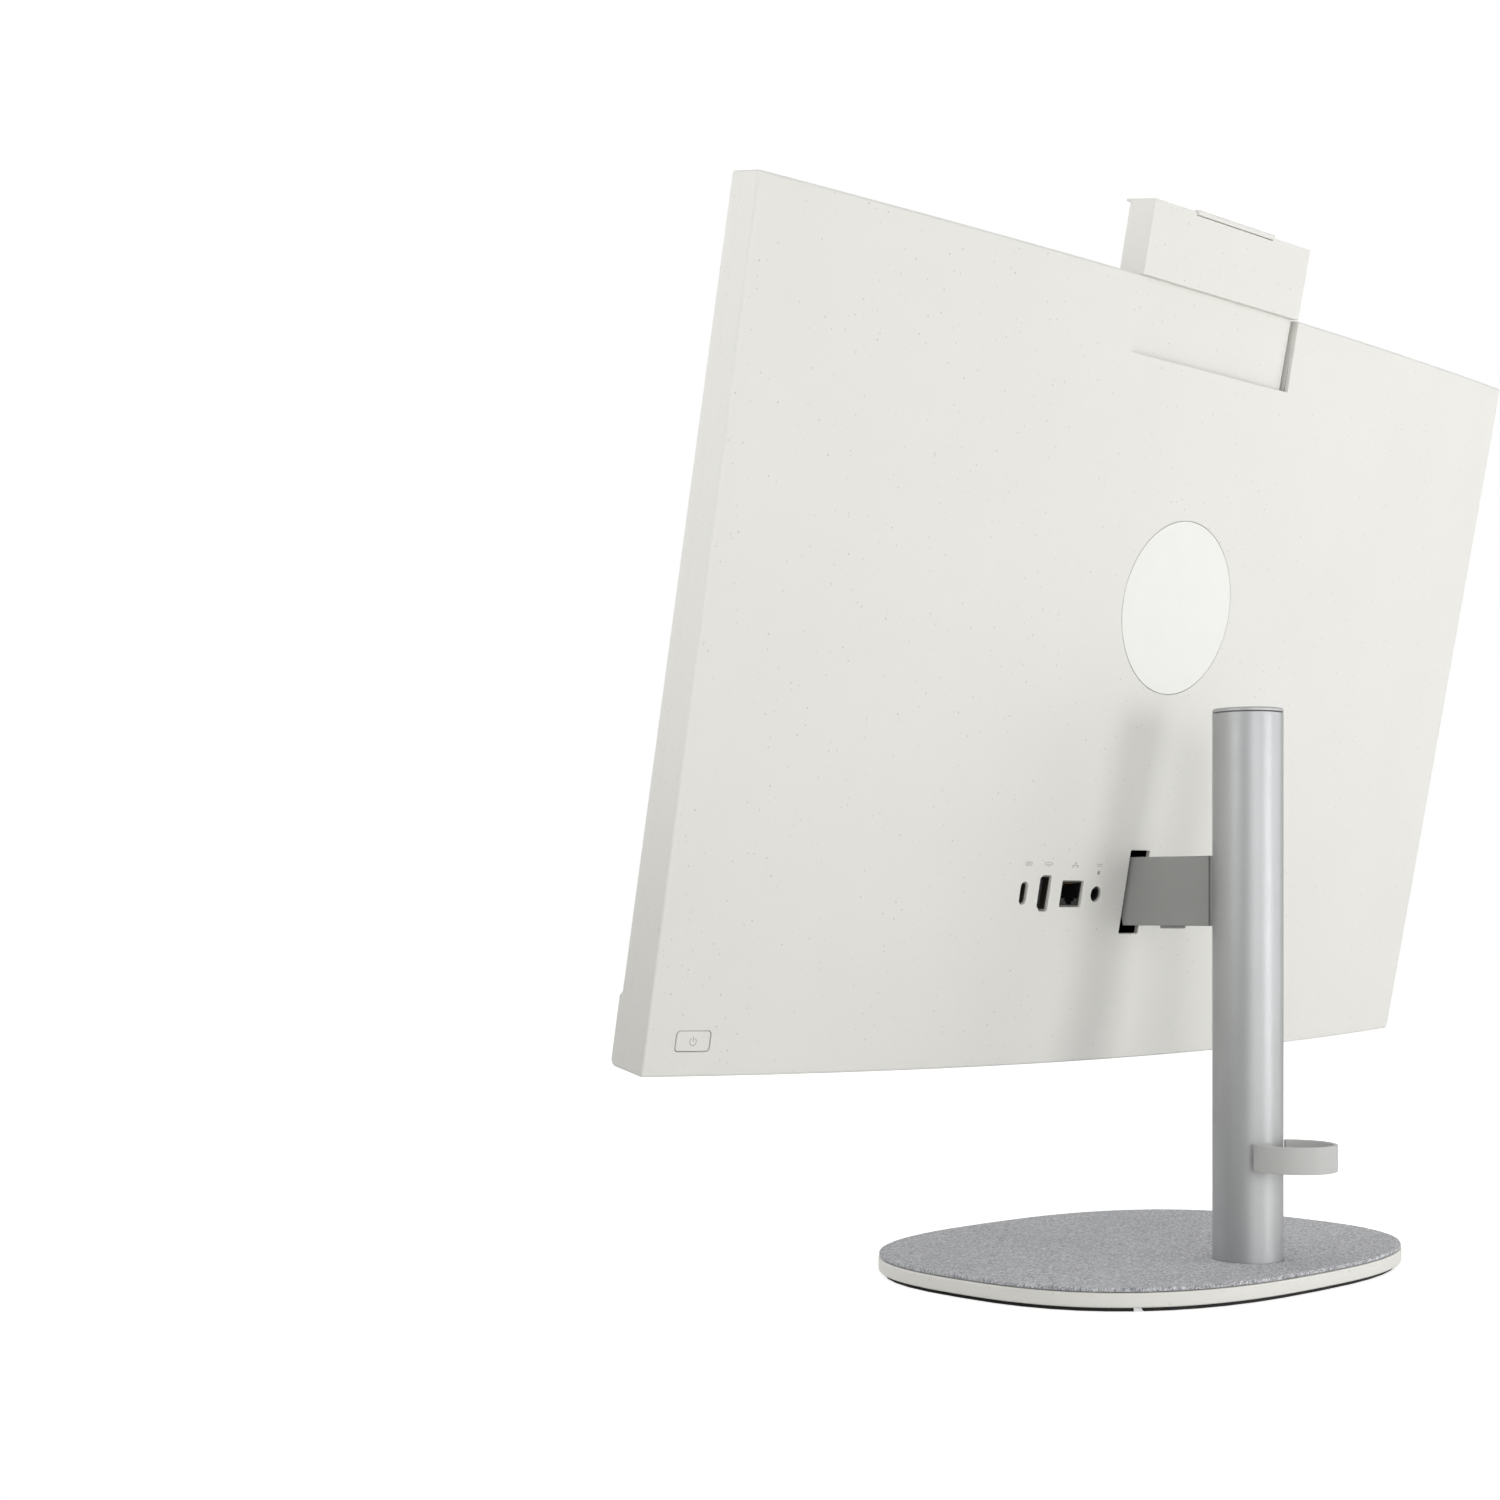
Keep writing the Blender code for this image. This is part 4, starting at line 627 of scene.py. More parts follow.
def make_studio():
    """A bright white room: its walls are seen as white, and light the desk more gently than that."""
    world = bpy.data.worlds.new("studio_room")
    world.use_nodes = True
    tree = world.node_tree
    walls = tree.nodes["Background"]
    walls.inputs["Color"].default_value = linear("#FFFFFF")
    seen = node(tree, "LightPath")
    level = node(tree, "MapRange", {"Value": (seen, "Is Camera Ray"), 3: ROOM_LIGHT, 4: 1.0})
    tree.links.new(level.outputs[0], walls.inputs["Strength"])
    bpy.context.scene.world = world
    # Where each softbox hangs, where it points, its two sizes in metres and its power in watts.
    softbox("back_panel", (1.0, 1.75, 0.5), (0, 0, 0.22), 0.8, 1.0, 7.4)
    softbox("side_panel", (-0.75, 0.55, 0.35), (-0.1, 0, 0.25), 0.5, 0.8, 1.65)
    softbox("low_panel", (-0.3, 1.3, 0.15), (0, 0.05, 0.15), 0.4, 0.5, 4.3)
    softbox("end_fill", (1.9, -0.2, 0.45), (0.2, 0, 0.18), 1.2, 1.0, 9.5)
    softbox("front_fill", (0.6, -2.0, 1.3), (0, 0, 0.2), 1.6, 1.2, 18.0)
    ceiling = bpy.data.lights.new("ceiling", "SUN")
    ceiling.energy = 0.25
    ceiling.angle = math.radians(70)
    holder = bpy.data.objects.new("ceiling", ceiling)
    holder.rotation_euler = (math.radians(-12), 0, 0)
    bpy.context.scene.collection.objects.link(holder)

    # The paper sweep is overlit where it is looked at, so that it reads as clean white.
    paper, tree, shader, place = finish("matt_white_paper", "#E6E6E4", 0.9,
                                        Emission_Color=linear("#FFFFFF"))
    mottle(tree, shader, place, "Roughness", 400, 0.86, 0.94)
    seen = node(tree, "LightPath")
    glow = node(tree, "MapRange", {"Value": (seen, "Is Camera Ray"), 3: 0.0, 4: FLOOR_LIFT})
    tree.links.new(glow.outputs[0], shader.inputs["Emission Strength"])
    staged("floor", paper, 12.0, 12.0, Matrix.Identity(4))
    cloth, tree, shader, place = finish("black_flag_cloth", "#101011", 0.95)
    mottle(tree, shader, place, "Roughness", 40, 0.9, 1.0)
    stand = Matrix.Translation((0.62, -0.05, 0.10)) @ Matrix.Rotation(math.radians(-90), 4, "Y")
    flag = staged("shading_flag", cloth, 0.18, 0.7, stand)
    flag.visible_camera = False


# ---- stand ------------------------------------------------------------------------------
def make_base():
    """A rounded tray, hollow underneath, with a felt sheet inlaid on top."""
    outside = [(0.9, TRAY_LOW), (0.45, 1.92), (0.12, 2.25), (0.0, 2.7), (0.0, 7.2), (0.1, 7.6),
               (0.35, 7.88), (0.75, TRAY_TOP)]
    rings = [[(x, y, z) for x, y in base_line(inset)] for inset, z in outside]
    tray = loft(rings)
    pocket = loft([[(x, y, z) for x, y in base_line(3.0)] for z in (0.0, 5.8)])
    tray = worked(tray, [pocket])
    tray = worked(tray, [drill(4.3, -1, 12, 32, "Z")])
    piece("base_rim", tray, STAND_AT, FLECKED_ABS, "stand", "off_white_plastic", "base_tray")

    edge = [(0.5, FELT_LOW), (0.15, 8.55), (0.0, 9.0), (0.02, 9.5), (0.2, 9.9), (0.6, 10.1)]
    rows = [[(x, y, z) for x, y in base_line(FELT_INSET + inset)] for inset, z in edge]
    hole = COLUMN_R + GAP
    start = [math.atan2(y, x) for x, y, z in rows[0]]
    inner = [(hole * math.cos(a), hole * math.sin(a)) for a in start]
    top = []
    for step in range(1, FELT_RINGS + 1):
        share = step / FELT_RINGS
        ring = []
        for (x, y, z), (a, b) in zip(rows[-1], inner):
            lift = FELT_LIFT * math.sin(x * 0.61 + 1.7 * math.sin(y * 0.43)) * math.sin(y * 0.77 + x * 0.21)
            level = FELT_TOP - 0.1 + (lift if step < FELT_RINGS else -0.1)
            ring.append((x + (a - x) * share, y + (b - y) * share, min(level, FELT_TOP)))
        top.append(ring)
    under = [(a, b, FELT_LOW) for a, b in inner]
    bm = bmesh.new()
    made = [[bm.verts.new(p) for p in ring] for ring in rows + top + [under]]
    skin(bm, made + made[:1])
    felt = piece("base_felt_sheet", bm, STAND_AT, FELT, "stand", "grey_felt", "base_felt")
    line = base_line(FELT_INSET)
    area = sum(a[0] * b[1] - b[0] * a[1] for a, b in zip(line, line[1:] + line[:1])) / 2
    area -= math.pi * hole ** 2
    fuzz = make_fuzz()


def make_fuzz():
    """Loose hairs that stand out of the felt's cut edge and lie over its top."""
    random.seed(11)
    bm = bmesh.new()
    line = base_line(FELT_INSET, count=2400)
    for _ in range(2600):
        i = random.randrange(len(line))
        here, ahead = Vector(line[i]), Vector(line[(i + 1) % len(line)])
        run = (ahead - here).normalized()
        out = Vector((run.y, -run.x))
        low = random.uniform(8.5, 10.0)
        foot = here - out * random.uniform(0.15, 0.5)
        tip = here + out * random.uniform(-0.1, 0.36) + run * random.uniform(-0.9, 0.9)
        a = Vector((*foot, min(low + random.uniform(-0.1, 0.1), 10.0)))
        c = Vector((*tip, min(low + random.uniform(-0.35, 0.4), 10.16)))
        b = (a + c) / 2 + Vector((0, 0, random.uniform(0.0, 0.12)))
        thick = random.uniform(0.025, 0.045)
        rows = []
        for point, size in ((a, thick), (b, thick), (c, thick * 0.4)):
            rows.append([bm.verts.new(point + Vector((0, 0, size))),
                         bm.verts.new(point + Vector((*run, 0)) * size - Vector((0, 0, size / 2))),
                         bm.verts.new(point - Vector((*run, 0)) * size - Vector((0, 0, size / 2)))])
        for p, q in zip(rows, rows[1:]):
            for k in range(3):
                bm.faces.new((p[k], p[(k + 1) % 3], q[(k + 1) % 3], q[k]))
        bm.faces.new(rows[0][::-1])
        bm.faces.new(rows[-1])
    bmesh.ops.recalc_face_normals(bm, faces=bm.faces)
    bm.transform(STAND_AT)
    made = placed("felt_edge_fuzz", bm, FELT)
    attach(made, "stand")
    return made


def make_column():
    cap_low = COLUMN_TOP - CAP_T
    bore = COLUMN_R - COLUMN_WALL
    tube = turned([(COLUMN_R - 0.25, COLUMN_LOW), (COLUMN_R, COLUMN_LOW + 0.25),
                   (COLUMN_R, cap_low - GAP - 0.25), (COLUMN_R - 0.25, cap_low - GAP),
                   (bore, cap_low - GAP), (bore, COLUMN_LOW)], 160)
    window = slab(rounded(ARM_HALF_X + GAP, (ARM_HIGH - ARM_LOW) / 2 + GAP, 0.5,
                          (0, (ARM_HIGH + ARM_LOW) / 2)), -COLUMN_R - 2, -COLUMN_R / 2, "Y", 0)
    piece("column", worked(tube, [window]), STAND_AT, ALUMINIUM, "stand", "satin_aluminium",
          "column_tube")
    rim = 0.7
    corner = [(COLUMN_R - rim + a, COLUMN_TOP - rim + b) for a, b in arc((0, 0), rim, 90, 0, 5)]
    plug = bore - GAP
    cap = turned([(0, COLUMN_TOP - 0.12), (COLUMN_R - 1.6, COLUMN_TOP - 0.12)] + corner
                 + [(COLUMN_R, cap_low + 0.2), (COLUMN_R - 0.2, cap_low), (plug, cap_low),
                    (plug, cap_low - 12), (0, cap_low - 12)], 160)
    piece("column_lid", cap, STAND_AT, ALUMINIUM, "stand", "satin_aluminium", "column_cap")


def make_arm():
    nose = [(HINGE_Y + y, HINGE_Z + z) for y, z in arc((0, 0), BARREL_R, 70, 290, 24)]
    throat = HINGE_Y + 4.5
    line = [(throat, ARM_HIGH)] + nose + [(throat, ARM_LOW), (ARM_END_Y, ARM_LOW), (ARM_END_Y, ARM_HIGH)]
    arm = slab(line, -ARM_HALF_X, ARM_HALF_X, "X", 0.6)
    bore = drill(SHAFT_R + GAP, -8, 8, 32, "X", (HINGE_Y, HINGE_Z))
    pin_hole = drill(2.3, 150, 195, 24, "Z", (0, -COLUMN_R + 4.4))
    well = slab(rounded(LATCH_HALF_X + GAP, LATCH_LENGTH / 2 + GAP, 0.8,
                        (0, LATCH_REAR - LATCH_LENGTH / 2)), ARM_LOW - 3, ARM_LOW + 6.3, "Z", 0)
    for side in (-1, 1):
        groove = block((side * 5.7 - 0.85, -COLUMN_R - 1.6, ARM_LOW - 3),
                       (side * 5.7 + 0.85, -COLUMN_R + 2.4, ARM_HIGH + 3), 0)
        arm = worked(arm, [groove])
    piece("stand_arm_casting", worked(arm, [bore, pin_hole, well]), STAND_AT, POWDER_GREY, "stand",
          "grey_die_cast", "stand_arm")
    latch = block((-LATCH_HALF_X, LATCH_REAR - LATCH_LENGTH, ARM_LOW - LATCH_PROUD),
                  (LATCH_HALF_X, LATCH_REAR, ARM_LOW + 5), 0.45)
    ribs = [block((-LATCH_HALF_X + 0.6, LATCH_REAR - 3.0 - 2.0 * i, ARM_LOW - LATCH_PROUD - 0.5),
                  (LATCH_HALF_X - 0.6, LATCH_REAR - 2.3 - 2.0 * i, ARM_LOW - LATCH_PROUD + 0.3), 0)
            for i in range(5)]
    piece("release_latch_tab", worked(latch, ribs), STAND_AT, POWDER_GREY, "latch", "grey_die_cast",
          "release_latch")


def make_clip():
    middle = CLIP_R - CLIP_T / 2
    reach = (CLIP_CENTRE_Y ** 2 + middle ** 2 - COLUMN_R ** 2) / (2 * CLIP_CENTRE_Y * middle)
    meeting = math.degrees(math.acos(reach))
    fixed = -90 - meeting + math.degrees((CLIP_T / 2 + GAP) / middle) - 6
    free = -90 + meeting + math.degrees((CLIP_T / 2 + 0.8) / middle) + 6
    centre = (0, CLIP_CENTRE_Y)
    turn = math.degrees(CLIP_T / 2 / middle)
    outer = arc(centre, CLIP_R, free + turn, fixed + 360 - turn, 96)
    inner = arc(centre, CLIP_R - CLIP_T, fixed + 360 - turn, free + turn, 96)

    def end(angle, side):
        at = (centre[0] + middle * math.cos(math.radians(angle)),
              centre[1] + middle * math.sin(math.radians(angle)))
        return arc(at, CLIP_T / 2, angle if side > 0 else angle + 180, angle + 180 * (1 if side > 0 else 2),
                   8)[1:-1]

    line = outer + end(fixed + 360 - turn, 1) + inner + end(free + turn, -1)
    clip = slab(line, CLIP_LOW, CLIP_LOW + CLIP_H, "Z", 0.45)
    piece("cable_ring", clip, STAND_AT, ELASTOMER, "stand", "grey_clip_plastic", "cable_clip")


# ---- head -------------------------------------------------------------------------------
COLUMNS = 120
ROWS = 14


def cover_space(margin, round_by, front):
    """The closed space behind the screen, less a margin all round, with a rounded rear edge."""
    half, low, high = HEAD_W / 2 - margin - round_by, margin + round_by, HEAD_H - margin - round_by
    across = [-half + 2 * half * i / COLUMNS for i in range(COLUMNS + 1)]
    up = [low + (high - low) * i / ROWS for i in range(ROWS + 1)]
    bm = bmesh.new()
    back = [[bm.verts.new((u, rear_surface(u, v) - margin, v)) for v in up] for u in across]
    for a, b in zip(back, back[1:]):
        for i in range(ROWS):
            bm.faces.new((a[i], b[i], b[i + 1], a[i + 1]))
    rim = [(u, low, -90) for u in across] + [(half, low, a) for a in range(-75, 0, 15)]
    rim += [(half, v, 0) for v in up] + [(half, high, a) for a in range(15, 90, 15)]
    rim += [(u, high, 90) for u in reversed(across)] + [(-half, high, a) for a in range(105, 180, 15)]
    rim += [(-half, v, 180) for v in reversed(up)] + [(-half, low, a) for a in range(195, 270, 15)]
    rings = []
    for angle in quarter(6):
        rings.append([(u + round_by * math.sin(angle) * math.cos(math.radians(a)),
                       rear_surface(u, v) - margin - round_by * (1 - math.cos(angle)),
                       v + round_by * math.sin(angle) * math.sin(math.radians(a))) for u, v, a in rim])
    rings.append([(u, front, v) for u, _, v in rings[-1]])
    rows = [[bm.verts.new(p) for p in ring] for ring in rings]
    skin(bm, rows)
    bm.faces.new(rows[-1])
    bmesh.ops.remove_doubles(bm, verts=bm.verts, dist=0.001)
    bmesh.ops.dissolve_degenerate(bm, edges=bm.edges, dist=WELD)
    return bm


def opening(line, floor=None, depth=6.0, ease=0.3):
    """Cutter for a hole in the rear cover, with a rounded lip that follows the bulge."""
    line = anticlockwise(line)
    stops = [(ease, -3.0)]
    stops += [(ease * (1 - math.sin(t)), ease * (1 - math.cos(t))) for t in quarter(4)]
    rings = [[(u, rear_surface(u, v) - sink, v) for u, v in moved_in(line, -grown)]
             for grown, sink in stops]
    if floor is None:
        rings.append([(u, rear_surface(u, v) - depth, v) for u, v in line])
    else:
        rings.append([(u, floor, v) for u, v in line])
    return loft(rings)


def plate(line, top, bottom, ease=0.0):
    """A thin plate that follows the rear cover: how far its faces stand out of the surface."""
    line = anticlockwise(line)
    stops = [(0, bottom)]
    stops += [(ease * (1 - math.cos(t)), top - ease * (1 - math.sin(t)))
              for t in quarter(4)] if ease else [(0, top)]
    return loft([[(u, rear_surface(u, v) + t, v) for u, v in moved_in(line, inset)]
                 for inset, t in stops])


def shifted(line, u, v):
    return [(a + u, b + v) for a, b in line]


def make_cover():
    shell = cover_space(0.0, COVER_ROUND, COVER_FRONT)
    shell = worked(shell, [cover_space(WALL, 1.0, COVER_FRONT - 6)])
    slot_middle = (SLOT_LOW + SLOT_HIGH) / 2
    slot_half = (SLOT_HIGH - SLOT_LOW) / 2
    notch_low = HEAD_H - CAMERA_RISE - CAMERA_CLEAR
    notch_half_u, notch_half_v = CAMERA_HALF_U + CAMERA_CLEAR, 22.0
    holes = [
        opening(rounded(SLOT_HALF_U, slot_half, 0.9, (0, slot_middle)), ease=0.25),
        opening(rounded(2.3, 5.2, 2.2, (USB_U, PORT_V))),
        opening(moved_in(anticlockwise(shifted(HDMI_LINE, HDMI_U, PORT_V)), -0.3)),
        opening(rounded(7.3, 6.1, 0.5, (NETWORK_U, PORT_V))),
        opening(circle(JACK_R + 0.3, (JACK_U, PORT_V))),
        opening(rounded(BUTTON_HALF_U + 0.4, BUTTON_HALF_V + 0.25, 1.75, (BUTTON_U, BUTTON_V)),
                floor=-11.0, ease=0.15),
        opening(rounded(notch_half_u, notch_half_v, 0.6, (0, notch_low + notch_half_v)),
                floor=CAMERA_FRONT - CAMERA_CAP_LIP - CAMERA_CLEAR, ease=0.35),
        opening(circle(1.0, CHARGE_LIGHT_AT, 24), ease=0.12),
    ]
    for i in range(VENT_COUNT):
        offset = (i - (VENT_COUNT - 1) / 2) * VENT_PITCH
        for u, v in ((FAN_U, HEAD_H), (0.0, 0.0)):
            holes.append(slab(rounded(VENT_W / 2, VENT_DEPTH, VENT_W / 2 - 0.05, (u + offset, -2.5)),
                              v - 4, v + 4, "Z", 0))
    shell = worked(shell, holes)
    recess = plate(circle(BADGE_R + GAP, (0, BADGE_V), 120), 3.0, BADGE_PROUD - BADGE_T - GAP)
    shell = worked(shell, [recess])
    # Faces more than 1.6 mm inside the rear surface take the dark second finish: painted shade on the inside
    # and on the deep walls of the openings. The notch's side and bottom walls keep the white.
    for face in shell.faces:
        u, w, v = face.calc_center_median()
        beside = abs(abs(u) - notch_half_u) < 0.6 and v > notch_low - 1
        if beside or (abs(v - notch_low) < 0.6 and abs(u) < CAMERA_HALF_U + 1):
            continue
        deep_in_shade = w < rear_surface(u, v) - 1.6
        if deep_in_shade and abs(u) < HEAD_W / 2 - 1.6 and 1.6 < v < HEAD_H - 1.6 and w > COVER_FRONT + 0.1:
            face.material_index = 1
    piece("rear_cover_shell", shell, HEAD_AT, [FLECKED_ABS, SHADE_PAINT], "head", "off_white_plastic",
          "rear_cover")
    wall_rear = rear_surface(notch_half_u, HEAD_H) - WALL + 0.1
    for side, name in ((-1, "right"), (1, "left")):
        low, high = sorted((side * notch_half_u, side * (notch_half_u + CAMERA_WALL)))
        flange = block((low, CAMERA_FRONT + 0.5, notch_low + CAMERA_CLEAR),
                       (high, wall_rear, HEAD_H - WALL + 0.1), 0.2)
        piece(f"camera_bay_wall_{name}", flange, HEAD_AT, FLECKED_ABS, "head", "off_white_plastic")
    badge = plate(circle(BADGE_R, (0, BADGE_V), 120), BADGE_PROUD, BADGE_PROUD - BADGE_T, 0.3)
    piece("rear_disc", badge, HEAD_AT, LACQUER, "head", "gloss_white_plastic", "rear_badge")
    light_pipe = plate(circle(0.9, CHARGE_LIGHT_AT, 24), -0.15, -1.6, 0.1)
    piece("charge_light_pipe", light_pipe, HEAD_AT, INK, "head", "gloss_white_plastic")


def make_front():
    half = HEAD_W / 2
    low = CHIN_H + SEAM
    inner = half - FRAME_SIDE
    top = HEAD_H - FRAME_TOP
    bezel = slab(arched(half, low, HEAD_H, COVER_ROUND, 6), SCREEN_FRONT, COVER_FRONT - SEAM, "Y", 0.15)
    window = slab(arched(inner, low - 9, top, WINDOW_ROUND, 4), SCREEN_FRONT - 5, COVER_FRONT + 5, "Y", 0)
    piece("screen_bezel", worked(bezel, [window]), HEAD_AT, FLECKED_ABS, "head", "off_white_plastic",
          "front_frame")

    rear = COVER_FRONT - SEAM
    profile = arc((CHIN_FRONT + CHIN_NOSE, CHIN_NOSE), CHIN_NOSE, 270, 180, 8)
    profile += arc((CHIN_FRONT + 0.5, CHIN_STEP - 0.5), 0.5, 180, 100, 4)
    profile += [(SCREEN_FRONT, CHIN_STEP + 1.5), (SCREEN_FRONT, CHIN_H), (rear, CHIN_H), (rear, 0)]
    rings = []
    for side in (-1, 1):
        for angle in quarter(6)[::side]:
            u = side * (half - COVER_ROUND + COVER_ROUND * math.sin(angle))
            lift = COVER_ROUND * (1 - math.cos(angle))
            rings.append([(u, w, v + lift * max(0.0, 1 - v / CHIN_STEP)) for w, v in profile])
    hollow = block((-half + 3, CHIN_FRONT + 1.8, 1.0), (half - 3, 3, CHIN_H - 1.8), 0)
    bar = worked(loft(rings), [hollow])
    slots = []
    for side in (-1, 1):
        for i in range(SPEAKER_SLOTS):
            u = side * (SPEAKER_U + (i - (SPEAKER_SLOTS - 1) / 2) * VENT_PITCH)
            slots.append(slab(rounded(VENT_W / 2, 1.8, 1.1, (u, (CHIN_FRONT + rear) / 2 + 0.4)),
                              -2, 3.2, "Z", 0))
    piece("chin", worked(bar, slots), HEAD_AT, FLECKED_ABS, "head", "off_white_plastic", "chin_bar")

    edge_low, edge_high = CHIN_H + 2 * GAP, top - GAP
    pane_middle = (edge_low + edge_high) / 2
    pane = slab(rounded(inner - GAP, (edge_high - edge_low) / 2, 0.6, (0, pane_middle)),
                SCREEN_FRONT + 0.2, SCREEN_FRONT + 1.3, "Y", 0.2)
    piece("screen_pane", pane, HEAD_AT, SCREEN, "head", "screen_glass", "display_glass")


def make_socket_metal(name, line, u, mouth_line, node_name, extra):
    rear = rear_surface(u, PORT_V) - PORT_SINK
    shell = slab(shifted(line, u, PORT_V), PORT_FRONT, rear, "Y", 0.12)
    mouth = slab(shifted(mouth_line, u, PORT_V), PORT_FRONT + 2, rear + 4, "Y", 0)
    shell = worked(shell, [mouth])
    piece(name + "_shell", shell, HEAD_AT, NICKEL, "head", "socket_metal", node_name)
    extra(rear)


def make_sockets():
    def usb_insides(rear):
        tongue = slab(rounded(0.35, 3.1, 0.2, (USB_U, PORT_V)), PORT_FRONT + 1.5, rear - 1.4, "Y", 0.1)
        piece("usb_c_tongue", tongue, HEAD_AT, NYLON, "head", "black_plastic")
        pads = [block((USB_U + side * 0.36 - 0.03, rear - 5.0, PORT_V - 2.9 + 0.5 * i),
                      (USB_U + side * 0.36 + 0.03, rear - 1.9, PORT_V - 2.62 + 0.5 * i), 0)
                for side in (-1, 1) for i in range(12)]
        piece("usb_c_contacts", together(pads), HEAD_AT, GOLD, "head", "socket_metal")

    def hdmi_insides(rear):
        tongue = slab(rounded(0.7, 6.0, 0.25, (HDMI_TONGUE_U, PORT_V)), PORT_FRONT + 1.5, rear - 1.4,
                      "Y", 0.15)
        piece("display_socket_tongue", tongue, HEAD_AT, NYLON, "head", "black_plastic")
        pads = [block((HDMI_TONGUE_U - 0.75, rear - 5.5, PORT_V - 4.7 + 0.95 * i),
                      (HDMI_TONGUE_U - 0.69, rear - 2.0, PORT_V - 4.3 + 0.95 * i), 0)
                for i in range(10)]
        piece("display_socket_contacts", together(pads), HEAD_AT, GOLD, "head", "socket_metal")

    make_socket_metal("usb_c", rounded(2.0, 4.9, 1.9), USB_U, rounded(1.6, 4.5, 1.5), "usb_c_port",
                      usb_insides)
    inner = moved_in(anticlockwise(HDMI_LINE), 0.45)
    make_socket_metal("display_socket", HDMI_LINE, HDMI_U, inner, "hdmi_port", hdmi_insides)

    u = NETWORK_U
    rear = rear_surface(u, PORT_V) - PORT_SINK
    shell = slab(rounded(7.0, 5.8, 0.3, (u, PORT_V)), PORT_FRONT, rear, "Y", 0.12)
    left = [(-6.1, 4.9), (-6.1, -2.2), (-3.2, -2.2), (-3.2, -3.7), (-1.8, -3.7), (-1.8, -5.1)]
    mouth = shifted(left + [(-a, b) for a, b in reversed(left)], u, PORT_V)
    shell = worked(shell, [slab(mouth, PORT_FRONT + 1.5, rear + 4, "Y", 0)])
    piece("network_socket_body", shell, HEAD_AT, NYLON, "head", "black_plastic", "ethernet_port")
    wires = []
    for i in range(8):
        at = u + (i - 3.5) * 1.02
        line = [(rear - 1.9, PORT_V + 4.7), (rear - 1.9, PORT_V + 4.3), (rear - 9.5, PORT_V + 0.6),
                (rear - 9.9, PORT_V + 0.9), (rear - 2.5, PORT_V + 4.7)]
        wires.append(slab(line, at - 0.2, at + 0.2, "X", 0))
    piece("network_socket_contacts", together(wires), HEAD_AT, GOLD, "head", "socket_metal")
    lining = slab(rounded(7.0, 5.8, 0.3, (u, PORT_V)), rear - 0.35, rear + 0.05, "Y", 0.1)
    hole = slab(rounded(6.7, 5.5, 0.15, (u, PORT_V)), rear - 2, rear + 2, "Y", 0)
    piece("network_socket_shield", worked(lining, [hole]), HEAD_AT, NICKEL, "head", "socket_metal")

    rear = rear_surface(JACK_U, PORT_V) - PORT_SINK
    barrel = turned([(0, PORT_FRONT), (JACK_R, PORT_FRONT), (JACK_R, rear - 0.3), (JACK_R - 0.2, rear),
                     (2.75, rear), (2.5, rear - 0.3), (2.5, PORT_FRONT + 3), (0, PORT_FRONT + 3)], 48, "Y",
                    (JACK_U, PORT_V))
    piece("power_socket_barrel", barrel, HEAD_AT, NYLON, "head", "black_plastic", "power_jack")
    pin = turned([(0, PORT_FRONT + 3), (0.7, PORT_FRONT + 3), (0.7, rear - 2.6), (0.35, rear - 2.1),
                  (0, rear - 2.0)], 24, "Y", (JACK_U, PORT_V))
    piece("power_socket_pin", pin, HEAD_AT, NICKEL, "head", "socket_metal")


def make_marks():
    """Plain pictograms above the sockets, printed on the cover."""
    def bar(u0, u1, v0, v1):
        return plate([(u0, v0), (u1, v0), (u1, v1), (u0, v1)], INK_TOP, INK_BOTTOM)

    def ring(line, width):
        """A closed line drawn as a thin strip."""
        line = anticlockwise(line)
        inside = moved_in(line, width)
        bm = bmesh.new()
        rows = []
        for path, t in ((line, INK_BOTTOM), (line, INK_TOP), (inside, INK_TOP), (inside, INK_BOTTOM)):
            rows.append([bm.verts.new((u, rear_surface(u, v) + t, v)) for u, v in path])
        skin(bm, rows + rows[:1])
        return bm

    v = MARKS_V
    marks = [ring(rounded(2.2, 0.85, 0.8, (76.0, v)), 0.32),
             bar(75.1, 76.9, v - 0.16, v + 0.16),
             ring(rounded(2.5, 0.6, 0.3, (63.0, v + 0.2)), 0.25),
             bar(62.0, 64.0, v - 1.0, v - 0.75),
             ring(rounded(0.6, 0.5, 0.25, (45.0, v + 0.8)), 0.25),
             ring(rounded(0.6, 0.5, 0.25, (43.6, v - 0.8)), 0.25),
             ring(rounded(0.6, 0.5, 0.25, (46.4, v - 0.8)), 0.25),
             bar(44.87, 45.13, v - 0.1, v + 0.3),
             bar(43.5, 46.5, v - 0.3, v - 0.06),
             bar(26.3, 29.9, v + 0.35, v + 0.62)]
    marks += [bar(26.3 + 1.35 * i, 27.2 + 1.35 * i, v - 0.55, v - 0.28) for i in range(3)]
    piece("socket_marks", together(marks), HEAD_AT, INK, "head", "off_white_plastic")


def button_at():
    """The button's own frame, square to the cover where it stands."""
    slope = math.atan(8 * BULGE_LOW * BUTTON_U / HEAD_W ** 2)
    return HEAD_AT @ Matrix.Translation((BUTTON_U, rear_surface(BUTTON_U, BUTTON_V), BUTTON_V)) @ (
        Matrix.Rotation(-slope, 4, "Z"))


def make_power_button():
    cap = slab(rounded(BUTTON_HALF_U, BUTTON_HALF_V, 1.5), -4.2, -0.1, "Y", 0.5)
    piece("power_button_cap", cap, button_at(), FLECKED_ABS, "button", "off_white_plastic",
          "power_button")
    outer = arc((0, -0.15), 1.7, 125, 415, 36)
    inner = arc((0, -0.15), 1.38, 415, 125, 36)
    symbol = [slab(outer + inner, -0.14, -0.06, "Y", 0),
              slab(rounded(0.17, 0.95, 0.1, (0, 1.0)), -0.14, -0.06, "Y", 0)]
    piece("power_button_mark", together(symbol), button_at(), INK, "button", "off_white_plastic")


